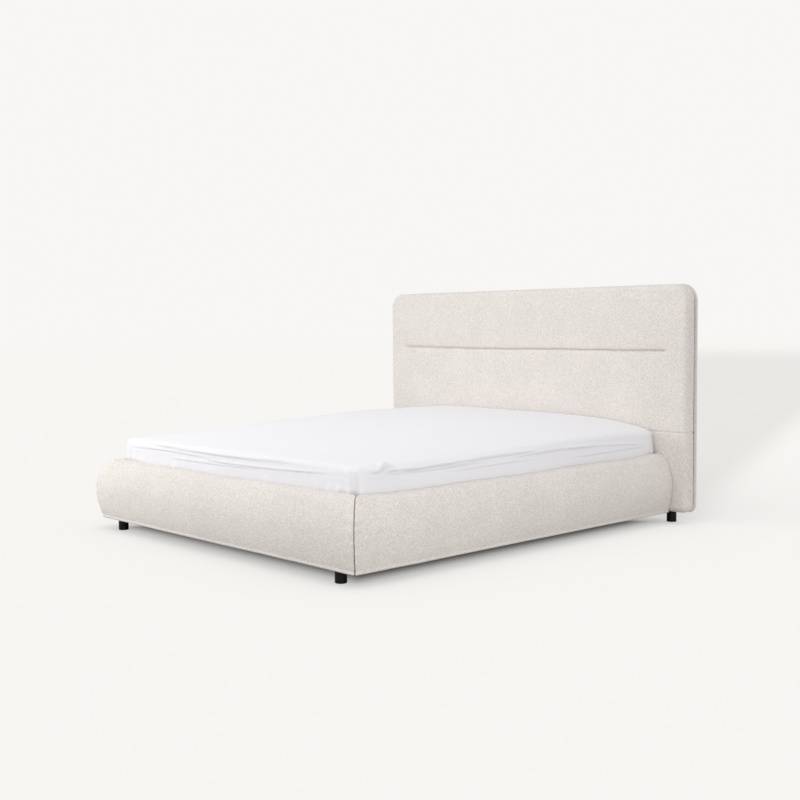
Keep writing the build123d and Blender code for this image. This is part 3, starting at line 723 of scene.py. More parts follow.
# --- Padded rails -------------------------------------------------------------------------------
def rail_outline(padding):
    """Outline of a rail's section, clockwise from its inner lower corner, and where its cloth shows:
    a flat top, an arc above the fullest height, a flatter arc below it and a rolled foot."""
    fine, coarse = padding.mesh_step, 4.0 * padding.mesh_step
    fullest, upper, lower = padding.rail_fullest, padding.rail_upper_swell, padding.rail_lower_swell
    inner_round, flat_end = RAIL_INNER_ROUND, RAIL_FLAT
    top_drop, foot_rise = RAIL_TOP_DROP, RAIL_FOOT_RISE

    def reach(height):
        radius = upper if height > fullest else lower
        return RAIL_DEPTH - radius + math.sqrt(radius**2 - (height - fullest) ** 2)

    top, low = RAIL_HIGH - top_drop, RAIL_LOW + foot_rise
    top_out, low_out = reach(top), reach(low)
    shoulder = ((top_out - flat_end) ** 2 + top_drop**2) / (2 * top_drop)
    toe = ((low_out - padding.rail_foot) ** 2 + foot_rise**2) / (2 * foot_rise)
    top_turn = math.asin((top - fullest) / upper)
    low_turn = math.asin((low - fullest) / lower)
    inside = line((0.0, RAIL_LOW), (0.0, RAIL_HIGH - inner_round), coarse)
    shown = arc((inner_round, RAIL_HIGH - inner_round), inner_round, math.pi, math.pi / 2, 0.003)
    shown += line((inner_round, RAIL_HIGH), (flat_end, RAIL_HIGH), fine)
    shown += arc((flat_end, RAIL_HIGH - shoulder), shoulder, math.pi / 2,
                 math.asin((shoulder - top_drop) / shoulder), fine)
    shown += arc((RAIL_DEPTH - upper, fullest), upper, top_turn, 0.0, fine)
    shown += arc((RAIL_DEPTH - lower, fullest), lower, 0.0, low_turn, fine)
    shown += arc((padding.rail_foot, RAIL_LOW + toe), toe, math.asin((low - RAIL_LOW - toe) / toe),
                 -math.pi / 2, fine)
    under = line((padding.rail_foot, RAIL_LOW), (0.0, RAIL_LOW), coarse)
    outline = np.array(inside + shown + under)
    upper_part = step(outline[:, 1], fullest, fullest + 0.05) * (outline[:, 0] > 0.02)
    for _ in range(60):
        even = (np.roll(outline, 1, axis=0) + 2 * outline + np.roll(outline, -1, axis=0)) / 4
        outline += (even - outline) * upper_part[:, None]
    shows = np.zeros(len(outline))
    shows[len(inside):len(inside) + len(shown)] = 1.0
    blur = np.ones(5) / 5
    shows = np.convolve(np.concatenate([shows[-2:], shows, shows[:2]]), blur, "valid")
    return outline, shows


def run_steps(length, fine, ends):
    """Places from 0 to 1 along a rail, closer together at its two ends."""
    close = np.linspace(0.0, ends, 11)[:-1] / length
    middle = np.linspace(ends / length, 1.0 - ends / length, math.ceil((length - 2 * ends) / fine))
    return np.concatenate([close, middle, 1.0 - close[::-1]])


def turned_in(distance, radius):
    """How far the cover has turned in this close to the end of a rail."""
    near = np.clip(radius - distance, 0.0, radius)
    return radius - np.sqrt(np.maximum(radius**2 - near**2, 0.0))


def rail_piece(name, padding, place, start, end, mitres, seed):
    """A rail's padded cover. place puts (out, along, height) into the bed's frame; start and end
    give where the rail begins and ends at each distance out; mitres say which ends are mitred."""
    outline, shows = rail_outline(padding)
    normals = outward(outline)
    out, height = outline[:, 0], outline[:, 1]
    length = abs(end(0.0) - start(0.0))
    t = run_steps(length, padding.mesh_step, RAIL_END_STEPS)[:, None]
    along = start(out)[None, :] + t * (end(out) - start(out))[None, :]
    slant = [math.sqrt(0.5) if mitred else 1.0 for mitred in mitres]
    gaps = [np.abs(along - start(out)) * slant[0], np.abs(along - end(out)) * slant[1]]
    rounds = [padding.seam_round if mitred else 0.6 * padding.seam_round for mitred in mitres]
    inset = turned_in(gaps[0], rounds[0]) + turned_in(gaps[1], rounds[1])
    flat = np.stack(np.broadcast_arrays(out, along, height), axis=-1).reshape(-1, 3)
    spread = np.stack([np.broadcast_to(normals[:, 0], along.shape), np.zeros_like(along),
                       np.broadcast_to(normals[:, 1], along.shape)], axis=-1).reshape(-1, 3)
    mask = np.broadcast_to(shows, along.shape).reshape(-1)
    nearest = np.minimum(*gaps).reshape(-1)
    swelling = padding.puff * (0.65 * drift(flat, 0.34, seed) + 0.35 * drift(flat, 0.11, seed + 1))
    swelling *= step(nearest, 0.0, 0.12)
    ripple = np.sin(flat[:, 2] / 0.0070 + 2.5 * drift(flat, 0.05, seed))
    pucker = SEAM_PUCKER * np.exp(-nearest / 0.020) * ripple
    drawn = SEAM_DRAW * np.exp(-nearest / 0.012)
    moved = (swelling + pucker - drawn) * mask - inset.reshape(-1)
    flat = flat + spread * moved[:, None]
    sunk = padding.sag * (1.0 + 0.35 * drift(flat * (1.0, 1.0, 0.0), 0.42, seed + 2))
    sunk *= 0.45 + 0.55 * step(nearest, 0.0, 0.26)
    flat[:, 2] -= sunk * step(flat[:, 2], padding.rail_fullest - 0.03, RAIL_HIGH + 0.04)
    points = pile(flat, spread, padding, 0.25 + 0.75 * mask)
    share = np.broadcast_to(t, along.shape).reshape(-1)
    first, last = start(points[:, 0]), end(points[:, 0])
    points[:, 1] = first + share * (last - first)
    rows, columns = along.shape
    faces = quads(rows, columns, closed=True)
    for edge_row in (0, rows - 1):
        ring = points[edge_row * columns:(edge_row + 1) * columns]
        centre = ring.mean(axis=0)
        first = len(points)
        caps = [centre + (ring - centre) * share for share in (0.75, 0.45, 0.15)]
        points = np.concatenate([points, *caps])
        around = np.arange(columns)
        onward = (around + 1) % columns
        joins = np.stack([edge_row * columns + around, edge_row * columns + onward,
                          first + onward, first + around], axis=1)
        faces += joins.tolist() + quads(3, columns, closed=True, start=first)
        faces.append((first + 2 * columns + around).tolist())
    piece = add_piece(name, place(points), faces, boucle_cloth())
    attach(piece, MAIN_BODY)
    return piece


class BED_OT_side_rails(Operator):
    """Padded bouclé covers of the two side rails."""

    bl_idname = "bed.side_rails"
    bl_label = "Side rails"

    def execute(self, context):
        padding = context.scene.bed_padding
        for name, side, seed in (("right", 1.0, 21), ("left", -1.0, 31)):
            piece = rail_piece(
                f"{name}_rail_padding", padding,
                lambda p, side=side: p * (side, 1.0, 1.0) + (side * INNER_X, 0.0, 0.0),
                lambda out: RAIL_END_Y + 0.0 * out,
                lambda out: FOOT_Y - out + MITRE_ROOM,
                (False, True), seed)
            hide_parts(f"{name}_rail_cover", f"{name}_rail_foam")
        return {"FINISHED"}


class BED_OT_foot_rail(Operator):
    """Padded bouclé cover of the foot rail."""

    bl_idname = "bed.foot_rail"
    bl_label = "Foot rail"

    def execute(self, context):
        piece = rail_piece(
            "foot_rail_padding", context.scene.bed_padding,
            lambda p: np.stack([p[:, 1], FOOT_Y - p[:, 0], p[:, 2]], axis=1),
            lambda out: -(INNER_X + out - MITRE_ROOM),
            lambda out: INNER_X + out - MITRE_ROOM,
            (True, True), 41)
        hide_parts("foot_rail_cover", "foot_rail_foam")
        return {"FINISHED"}


# --- Headboard ----------------------------------------------------------------------------------
def crowded(low, high, coarse, places, reach):
    """Steps from low to high: coarse ones, with finer ones near each (place, step)."""
    dense = np.linspace(low, high, 4000)
    spacing = np.full(dense.shape, coarse)
    for place, local in places:
        near = np.exp(-(((dense - place) / reach) ** 2))
        spacing = np.minimum(spacing, coarse + (local - coarse) * near)
    count = np.concatenate([[0.0], np.cumsum(np.diff(dense) / spacing[:-1])])
    return np.interp(np.linspace(0.0, count[-1], math.ceil(count[-1]) + 1), count, dense)


def rounded_grid(xs, zs, low_radius, high_radius):
    """A grid drawn into a rectangle with rounded corners."""
    x, z = np.meshgrid(xs, zs, indexing="xy")
    x, z = x.copy(), z.copy()
    for side in (-1.0, 1.0):
        for end, radius in ((zs[0], low_radius), (zs[-1], high_radius)):
            up = 1.0 if end == zs[-1] else -1.0
            cx, cz = side * (xs[-1] - radius), end - up * radius
            a = np.clip(side * (x - cx) / radius, 0.0, 1.0)
            b = np.clip(up * (z - cz) / radius, 0.0, 1.0)
            inside = (a > 0) & (b > 0)
            x = np.where(inside, cx + side * radius * a * np.sqrt(1 - b * b / 2), x)
            z = np.where(inside, cz + up * radius * b * np.sqrt(1 - a * a / 2), z)
    return x, z


def border(rows, columns):
    """Indices round a grid's edge: along the first row, up, back and down."""
    bottom = [(0, c) for c in range(columns)]
    right = [(r, columns - 1) for r in range(1, rows)]
    top = [(rows - 1, c) for c in range(columns - 2, -1, -1)]
    left = [(r, 0) for r in range(rows - 2, 0, -1)]
    return np.array([r * columns + c for r, c in bottom + right + top + left])


def border_normals(x, z, half, low, high, low_radius, high_radius):
    """Directions square to the edge of a rectangle with rounded corners, at points on it."""
    normals = np.zeros((len(x), 2))
    for i, (px, pz) in enumerate(zip(x, z)):
        radius = high_radius if pz > (low + high) / 2 else low_radius
        cx = math.copysign(half - radius, px)
        cz = high - radius if pz > (low + high) / 2 else low + radius
        dx = (px - cx) * math.copysign(1, px)
        dz = (pz - cz) * (1 if pz > (low + high) / 2 else -1)
        if dx > 1e-9 and dz > 1e-9:
            size = math.hypot(dx, dz)
            normals[i] = (px - cx) / size, (pz - cz) / size
        elif abs(abs(px) - half) < 1e-6:
            normals[i] = math.copysign(1, px), 0.0
        else:
            normals[i] = 0.0, (1.0 if pz > (low + high) / 2 else -1.0)
    return normals


def headboard_front(x, z, padding):
    """How far the cloth of the headboard's face stands proud: crowned between its seams, drawn in
    along the pleat and the join."""
    top, join, pleat = HEAD_HIGH.z, padding.join_height, padding.pleat_height

    def crown(low, high):
        t = np.clip((z - low) / (high - low), 0.0, 1.0)
        return np.sin(math.pi * t) ** 0.7

    sides = 1.0 - step(np.abs(x), 0.90, 1.06)
    proud = padding.head_puff * (0.75 * crown(join, pleat) + crown(pleat, top)) * sides
    ends = 1.0 - step(np.abs(x), padding.pleat_half_length - 0.035, padding.pleat_half_length)
    waver = 0.0012 * np.sin(7.0 * x) + 0.0006 * np.sin(23.0 * x + 1.0)
    waver += 0.010 * np.exp(-(x + padding.pleat_half_length) / 0.22)
    off = np.abs(z - pleat - waver)
    fold = padding.pleat_depth * np.exp(-((off / 0.0045) ** 1.3)) + 0.006 * np.exp(-off / 0.022)
    dimple = 0.004 * np.exp(-(((np.abs(x) - padding.pleat_half_length) / 0.03) ** 2) - (off / 0.02) ** 2)
    seam = 0.0035 * np.exp(-(((z - join) / 0.0045) ** 2)) + 0.0012 * np.exp(-np.abs(z - join) / 0.02)
    return proud - fold * ends - dimple - seam


class BED_OT_headboard(Operator):
    """Padded bouclé cover of the headboard, with its pleat, join and rolled edges."""

    bl_idname = "bed.headboard"
    bl_label = "Headboard"

    def execute(self, context):
        padding = context.scene.bed_padding
        roll, welt_y = padding.head_roll, WELT_LOW.y
        half = HEAD_HIGH.x - roll
        low, high = HEAD_LOW.z + roll, HEAD_HIGH.z - roll
        low_radius, high_radius = padding.head_foot_radius - roll, padding.head_top_radius - roll
        xs = crowded(-half, half, HEAD_MESH_STEP, [], 1.0)
        zs = crowded(low, high, HEAD_MESH_STEP,
                     [(padding.pleat_height, 0.0012), (padding.join_height, 0.0020)], 0.012)
        x, z = rounded_grid(xs, zs, low_radius, high_radius)
        rows, columns = x.shape
        x, z = x.reshape(-1), z.reshape(-1)
        edge = border(rows, columns)
        normals = border_normals(x[edge], z[edge], half, low, high, low_radius, high_radius)
        turns = np.linspace(0.0, math.pi / 2, 11)[1:]
        profile = [(roll * (1 - math.sin(a)), HEAD_Y + roll * (1 - math.cos(a))) for a in turns]
        seam_y = welt_y - SEAM_BEFORE_WELT
        band = np.linspace(HEAD_Y + roll, seam_y - 0.0080, 10)[1:]
        profile += [(0.0, y) for y in band]
        profile += [(0.0006, seam_y - 0.0056), (0.0050, seam_y - 0.0045), (0.0160, seam_y - 0.0036),
                    (0.0160, seam_y + 0.0032), (0.0050, seam_y + 0.0040), (0.0006, seam_y + 0.0052),
                    (0.0010, welt_y - 0.0030),
                    (0.0040, welt_y - 0.0010), (0.0100, welt_y + 0.0030),
                    (0.0120, BACK_LOW.y - 0.001), (0.045, BACK_LOW.y - 0.001)]
        face = np.stack([x, np.full_like(x, HEAD_Y), z], axis=1)
        face_normals = np.tile([0.0, -1.0, 0.0], (len(face), 1))
        rings, ring_normals = [], []
        for k, (inset, y) in enumerate(profile):
            shift = roll - inset
            ring = np.stack([x[edge] + normals[:, 0] * shift, np.full(len(edge), y),
                             z[edge] + normals[:, 1] * shift], axis=1)
            angle = turns[k] if k < len(turns) else math.pi / 2
            lean = np.stack([normals[:, 0] * math.sin(angle), np.full(len(edge), -math.cos(angle)),
                             normals[:, 1] * math.sin(angle)], axis=1)
            rings.append(ring)
            ring_normals.append(lean)
        points = np.concatenate([face, *rings])
        spread = np.concatenate([face_normals, *ring_normals])
        proud = headboard_front(points[:, 0], points[:, 2], padding)
        on_face = np.concatenate([np.ones(len(face)), np.repeat(
            [max(0.0, math.cos(a)) for a in turns] + [0.0] * (len(profile) - len(turns)), len(edge))])
        seam = -0.0030 * np.exp(-(((points[:, 2] - padding.join_height) / 0.005) ** 2))
        uneven = 0.0020 * drift(points, 0.30, 51) + 0.0008 * drift(points, 0.10, 52)
        above = step(points[:, 2], 0.40, 0.60)
        hidden = step(points[:, 1], seam_y - 0.008, seam_y - 0.004)
        moved = proud * on_face + seam * (1 - on_face) + uneven * above * (1 - hidden)
        strength = 1.0 - 0.85 * hidden
        points = pile(points + spread * moved[:, None], spread, padding, strength)
        faces = quads(rows, columns, closed=False)
        first = len(face)
        around = np.arange(len(edge))
        onward = (around + 1) % len(edge)
        faces += np.stack([edge[around], edge[onward], first + onward, first + around], axis=1).tolist()
        faces += quads(len(rings), len(edge), closed=True, start=first)
        piece = add_piece("headboard_padding", points, faces, boucle_cloth())
        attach(piece, MAIN_BODY)
        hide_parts("headboard_cover", "headboard_foam")
        return {"FINISHED"}


def cord(padding, half, low, high, y, radius, around):
    """Points, normals and faces of a closed round cord that follows the headboard's outline."""
    outline, flat = rounded_loop(half, low, high, padding.head_foot_radius - 0.002,
                                 padding.head_top_radius - 0.002, 0.0030)
    count = len(outline)
    path = np.stack([outline[:, 0], np.full(count, y), outline[:, 1]], axis=1)
    normals = np.stack([flat[:, 0], np.zeros(count), flat[:, 1]], axis=1)
    lean = np.array([0.0, 1.0, 0.0])
    angles = np.linspace(0.0, 2 * math.pi, around, endpoint=False)
    spread = (np.cos(angles)[None, :, None] * normals[:, None, :]
              + np.sin(angles)[None, :, None] * lean[None, None, :])
    points = (path[:, None, :] + radius * spread).reshape(-1, 3)
    faces = []
    for r in range(count):
        s = (r + 1) % count
        for c in range(around):
            d = (c + 1) % around
            faces.append((r * around + c, r * around + d, s * around + d, s * around + c))
    return points, spread.reshape(-1, 3), faces


def rounded_loop(half, low, high, low_radius, high_radius, spacing):
    """Evenly spaced points round a rectangle with rounded corners, and their outward normals."""
    quarter = math.pi / 2
    outline = line((-half + low_radius, low), (half - low_radius, low), spacing)
    outline += arc((half - low_radius, low + low_radius), low_radius, -quarter, 0.0, spacing)
    outline += line((half, low + low_radius), (half, high - high_radius), spacing)
    outline += arc((half - high_radius, high - high_radius), high_radius, 0.0, quarter, spacing)
    outline += line((half - high_radius, high), (-half + high_radius, high), spacing)
    outline += arc((-half + high_radius, high - high_radius), high_radius, quarter, 2 * quarter, spacing)
    outline += line((-half, high - high_radius), (-half, low + low_radius), spacing)
    outline += arc((-half + low_radius, low + low_radius), low_radius, 2 * quarter, 3 * quarter, spacing)
    outline = np.array(outline)
    return outline, -outward(outline)


class BED_OT_welt(Operator):
    """Bouclé welt cord round the headboard's rear edge, and a dark cord of painted shade in the seam before it.
    """

    bl_idname = "bed.welt"
    bl_label = "Welt"

    def execute(self, context):
        padding = context.scene.bed_padding
        radius = (WELT_HIGH.y - WELT_LOW.y) / 2
        y = (WELT_HIGH.y + WELT_LOW.y) / 2
        points, spread, faces = cord(padding, WELT_HIGH.x - radius, WELT_LOW.z + radius,
                                     WELT_HIGH.z - radius, y, radius, 14)
        uneven = 0.0005 * drift(points, 0.06, 61)
        points = pile(points + spread * uneven[:, None], spread, padding, np.full(len(points), 0.45))
        piece = add_piece("headboard_welt", points, faces, welt_cloth())
        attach(piece, MAIN_BODY)
        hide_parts("headboard_piping")
        # painted shade: a dark cord laid in the seam before the welt stands in for the seam's shadow
        sunk = SEAM_SHADE_CORD_DEPTH
        points, _, faces = cord(padding, HEAD_HIGH.x - sunk, HEAD_LOW.z + sunk, HEAD_HIGH.z - sunk,
                                WELT_LOW.y - SEAM_BEFORE_WELT, SEAM_SHADE_CORD_RADIUS, 10)
        seam_shade = add_piece("headboard_seam_painted_shade", points, faces, lining_cloth())
        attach(seam_shade, MAIN_BODY)
        return {"FINISHED"}


class BED_OT_back_cloth(Operator):
    """Lining stapled over the back of the headboard, and its staples."""

    bl_idname = "bed.back_cloth"
    bl_label = "Back cloth"

    def execute(self, context):
        padding = context.scene.bed_padding
        half, low, high = BACK_HIGH.x, BACK_LOW.z, BACK_HIGH.z
        inset = HEAD_HIGH.x - half
        low_radius = padding.head_foot_radius - inset
        high_radius = padding.head_top_radius - inset
        xs = np.linspace(-half, half, 300)
        zs = np.linspace(low, high, 160)
        x, z = rounded_grid(xs, zs, low_radius, high_radius)
        shape = x.shape
        x, z = x.reshape(-1), z.reshape(-1)
        flat = np.stack([x, np.zeros_like(x), z], axis=1)
        reach = np.minimum(half - np.abs(x), np.minimum(z - low, high - z))
        held = np.exp(-reach / 0.030)
        along = np.where(half - np.abs(x) < 0.05, z, x)
        scallop = 0.5 - 0.5 * np.cos(2 * math.pi * along / STAPLE_PITCH)
        sag = 0.0028 * drift(flat, 0.22, 71) + 0.0016 * drift(flat * (1, 1, 0.4), 0.07, 72)
        bulge = sag * (1 - held) + 0.0012 * scallop * held
        fold = 0.0012 * (1 - step(reach, 0.009, 0.013))
        y = BACK_LOW.y + 0.0016 + np.clip(bulge + fold, -0.0012, 0.004)
        piece = add_piece("headboard_back_lining", np.stack([x, y, z], axis=1),
                          quads(*shape, closed=False), lining_cloth())
        thickness = piece.modifiers.new("Cloth thickness", "SOLIDIFY")
        thickness.thickness = 0.0008
        thickness.offset = -1.0
        apply_modifiers(piece)
        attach(piece, MAIN_BODY)
        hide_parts("headboard_back_cloth")
        self.staples(half, low, high, low_radius, high_radius)
        return {"FINISHED"}

    def staples(self, half, low, high, low_radius, high_radius):
        """Wire staples along the turned edge of the lining."""
        margin, crown, wire = 0.006, 0.0105, 0.0006
        outline, normals = rounded_loop(half - margin, low + margin, high - margin,
                                        low_radius - margin, high_radius - margin, STAPLE_PITCH)
        shell = bmesh.new()
        for (x, z), (nx, nz) in zip(outline, normals):
            turn = Matrix.Rotation(math.atan2(nx, nz), 4, "Y")
            bar = bmesh.ops.create_cone(shell, cap_ends=True, segments=8, radius1=wire, radius2=wire,
                                        depth=crown)["verts"]
            place = Matrix.Translation((x, BACK_HIGH.y + 0.0012, z)) @ turn
            bmesh.ops.transform(shell, matrix=place @ Matrix.Rotation(math.pi / 2, 4, "Y"), verts=bar)
            for side in (-1, 1):
                leg = bmesh.ops.create_cone(shell, cap_ends=True, segments=8, radius1=wire,
                                            radius2=wire, depth=0.004)["verts"]
                lower = Matrix.Translation((side * crown / 2, -0.002, 0.0))
                bmesh.ops.transform(shell, matrix=place @ lower @ Matrix.Rotation(math.pi / 2, 4, "X"),
                                    verts=leg)
        mesh = bpy.data.meshes.new("lining_staples")
        shell.to_mesh(mesh)
        shell.free()
        mesh.shade_smooth()
        mesh.materials.append(zinc_plate())
        piece = bpy.data.objects.new("lining_staples", mesh)
        bpy.context.scene.collection.objects.link(piece)
        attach(piece, MAIN_BODY)


# --- Mattress and sheet -------------------------------------------------------------------------
def apply_modifiers(piece):
    """Makes a piece's modifiers part of its mesh."""
    graph = bpy.context.evaluated_depsgraph_get()
    made = bpy.data.meshes.new_from_object(piece.evaluated_get(graph))
    made.name = piece.name
    old = piece.data
    piece.modifiers.clear()
    piece.data = made
    bpy.data.meshes.remove(old)


def top_height(linen, x, y):
    """Height of the mattress's top: full towards the head, falling to its sides and foot end."""
    half_x, half_y = (MATTRESS_HIGH.x - MATTRESS_LOW.x) / 2, (MATTRESS_HIGH.y - MATTRESS_LOW.y) / 2
    u = np.clip(x / half_x, -1.0, 1.0)
    across = 1.0 - np.where(u > 0, np.abs(u) ** 4, u**6)
    fall = np.clip((0.3 - y) / (half_y + 0.3), 0.0, 1.0)
    lift = 0.016 * np.exp(-(((y - 0.55) / 0.55) ** 2))
    full = linen.crown - 0.008 * u
    return MATTRESS_LOW.z + linen.side_height + lift + full * across * (1.0 - fall**2)


def block_form(linen, grow, top_step, side_step, corner_step, hem):
    """Surface of the mattress, grown evenly: a crowned top, rounded edges, upright sides and an
    underside that reaches in by hem, or right across where hem is None. Returns its points, the
    direction that each point faces and its faces."""
    size = (MATTRESS_HIGH - MATTRESS_LOW) / 2
    corner, edge = linen.corner + grow, linen.edge + grow
    half_x, half_y = size.x + grow - edge, size.y + grow - edge
    corner_radius = corner - edge
    low = MATTRESS_LOW.z - grow
    marks_x = [(-half_x, corner_step), (half_x, corner_step)]
    marks_y = [(-half_y, corner_step), (half_y, corner_step)]
    xs = crowded(-half_x, half_x, top_step, marks_x, 0.22)
    ys = crowded(-half_y, half_y, top_step, marks_y, 0.22)
    x, y = rounded_grid(xs, ys, corner_radius, corner_radius)
    rows, columns = x.shape
    x, y = x.reshape(-1), y.reshape(-1)
    rim = border(rows, columns)
    normals = border_normals(x[rim], y[rim], half_x, -half_y, half_y, corner_radius, corner_radius)
    top = top_height(linen, x, y) + grow
    high = top[rim]
    turns = np.linspace(0.0, math.pi / 2, 7)
    profile = [(edge * math.sin(a), high - edge * (1 - math.cos(a)), a) for a in turns[1:]]
    side = high.mean() - low - 2 * edge
    falls = crowded(0.0, side, side_step, [(0.05, 0.4 * side_step)], 0.07) / side
    profile += [(edge, high - edge - (high - low - 2 * edge) * t, math.pi / 2) for t in falls[1:-1]]
    profile += [(edge * math.cos(a), low + edge * (1 - math.sin(a)), math.pi / 2 + a) for a in turns]
    if hem:
        profile += [(-reach, low, math.pi) for reach in np.arange(side_step, hem - edge, side_step)]
    points = [np.stack([x, y, top], axis=1)]
    spread = [np.tile([0.0, 0.0, 1.0], (len(x), 1))]
    for shift, z, angle in profile:
        points.append(np.stack([x[rim] + normals[:, 0] * shift, y[rim] + normals[:, 1] * shift,
                                np.broadcast_to(z, len(rim))], axis=1))
        spread.append(np.stack([normals[:, 0] * math.sin(angle), normals[:, 1] * math.sin(angle),
                                np.full(len(rim), math.cos(angle))], axis=1))
    faces = quads(rows, columns, closed=False)
    first, round_it = rows * columns, len(rim)
    around = np.arange(round_it)
    onward = (around + 1) % round_it
    faces += np.stack([rim[around], rim[onward], first + onward, first + around], axis=1).tolist()
    faces += quads(len(profile), round_it, closed=True, start=first)
    if not hem:
        start = sum(len(p) for p in points)
        points.append(np.stack([x, y, np.full(len(x), low)], axis=1))
        spread.append(np.tile([0.0, 0.0, -1.0], (len(x), 1)))
        inner = set(rim.tolist())
        last = start - round_it
        index = {int(v): last + i for i, v in enumerate(rim)}
        for quad in quads(rows, columns, closed=False):
            faces.append([index[v] if v in inner else start + v for v in reversed(quad)])
    points, spread = np.concatenate(points), np.concatenate(spread)
    points += (MATTRESS_MIDDLE.x, MATTRESS_MIDDLE.y, 0.0)
    return points, spread, faces


class BED_OT_mattress(Operator):
    """Quilted mattress under the sheet."""

    bl_idname = "bed.mattress"
    bl_label = "Mattress"

    def execute(self, context):
        linen = context.scene.bed_linen
        points, spread, faces = block_form(linen, -0.0010, 0.020, 0.012, 0.012, None)
        u = (points[:, 0] + points[:, 1]) / QUILT_PITCH
        v = (points[:, 0] - points[:, 1]) / QUILT_PITCH
        quilt = np.minimum(np.abs(u - np.round(u)), np.abs(v - np.round(v)))
        sunk = QUILT_DEPTH * np.exp(-quilt / 0.06) * np.abs(spread[:, 2])
        points = points - spread * sunk[:, None]
        piece = add_piece("mattress_quilt", points, faces, ticking_cloth())
        weld(piece)
        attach(piece, MATTRESS_BODY)
        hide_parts("mattress")
        return {"FINISHED"}


def weld(piece):
    """Joins points that lie on each other and drops loose ones."""
    shell = bmesh.new()
    shell.from_mesh(piece.data)
    bmesh.ops.remove_doubles(shell, verts=shell.verts, dist=1e-5)
    loose = [v for v in shell.verts if not v.link_faces]
    bmesh.ops.delete(shell, geom=loose, context="VERTS")
    bmesh.ops.recalc_face_normals(shell, faces=shell.faces)
    shell.to_mesh(piece.data)
    shell.free()


def settle(piece, cut, pinned, collider, frames):
    """Lets the sheet settle as cloth: cut gives the points of its slacker cut shape, and pinned
    says how firmly each point stays where it is. Returns the settled points."""
    scene = bpy.context.scene
    piece.shape_key_add(name="Worn")
    key = piece.shape_key_add(name="Cut")
    key.data.foreach_set("co", cut.astype(np.float32).ravel())
    hold = piece.vertex_groups.new(name="hold")
    for weight in np.unique(pinned):
        if weight > 0:
            hold.add(np.nonzero(pinned == weight)[0].tolist(), float(weight), "REPLACE")
    collision = collider.modifiers.new("Collision", "COLLISION")
    collider.collision.thickness_outer = 0.001
    collider.collision.cloth_friction = 12.0
    cloth = piece.modifiers.new("Cloth", "CLOTH")
    settings = cloth.settings
    settings.quality = 6
    settings.mass = 0.15
    settings.tension_stiffness = 25.0
    settings.compression_stiffness = 25.0
    settings.shear_stiffness = 8.0
    settings.bending_stiffness = 0.6
    settings.air_damping = 2.0
    settings.vertex_group_mass = "hold"
    settings.pin_stiffness = 1.0
    settings.rest_shape_key = key
    cloth.collision_settings.distance_min = 0.001
    cloth.collision_settings.collision_quality = 3
    cloth.point_cache.frame_start = 1
    cloth.point_cache.frame_end = frames
    for f in range(1, frames + 1):
        scene.frame_set(f)
    graph = bpy.context.evaluated_depsgraph_get()
    settled = piece.evaluated_get(graph).to_mesh()
    points = np.empty(len(settled.vertices) * 3, np.float32)
    settled.vertices.foreach_get("co", points)
    piece.modifiers.clear()
    piece.shape_key_clear()
    piece.vertex_groups.clear()
    collider.modifiers.remove(collision)
    scene.frame_set(1)
    return points.reshape(-1, 3).astype(float)


class BED_OT_fitted_sheet(Operator):
    """Fitted sheet that settles over the mattress as cloth."""

    bl_idname = "bed.fitted_sheet"
    bl_label = "Fitted sheet"

    def execute(self, context):
        linen = context.scene.bed_linen
        points, spread, faces = block_form(linen, linen.sheet_gap, 0.0165, 0.0095, 0.0085, linen.hem)
        piece = add_piece("fitted_sheet_cotton", points, faces, sheet_cotton())
        low, high = MATTRESS_LOW.z, MATTRESS_LOW.z + linen.side_height
        down = np.clip((high - points[:, 2]) / (high - low), 0.0, 1.0)
        cut = points.copy()
        cut[:, 2] = high + (points[:, 2] - high) * (1 + linen.slack)
        middle = np.array([MATTRESS_MIDDLE.x, MATTRESS_MIDDLE.y])
        cut[:, :2] = middle + (points[:, :2] - middle) * (1 + 0.004 + 0.10 * linen.slack)
        pinned = step(down, 0.80, 0.97)
        form = add_piece("sheet_former", *form_under(linen), sheet_cotton())
        settled = settle(piece, cut, np.round(pinned, 1), form, linen.frames)
        bpy.data.objects.remove(form)
        move = settled - points
        size = np.linalg.norm(move, axis=1, keepdims=True)
        points = points + move * np.minimum(1.0, SETTLE_LIMIT / np.maximum(size, 1e-9))
        points = points + spread * sheet_folds(linen, points, spread)[:, None]
        piece.data.vertices.foreach_set("co", points.astype(np.float32).ravel())
        piece.data.update()
        thickness = piece.modifiers.new("Cotton thickness", "SOLIDIFY")
        thickness.thickness = linen.sheet_thickness
        thickness.offset = 1.0
        apply_modifiers(piece)
        piece.data.shade_smooth()
        size = MATTRESS_HIGH - MATTRESS_LOW
        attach(piece, MATTRESS_BODY)
        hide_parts("fitted_sheet")
        return {"FINISHED"}


def form_under(linen):
    """Smooth form that the sheet settles on."""
    points, _, faces = block_form(linen, 0.0, 0.045, 0.03, 0.03, None)
    return points, faces


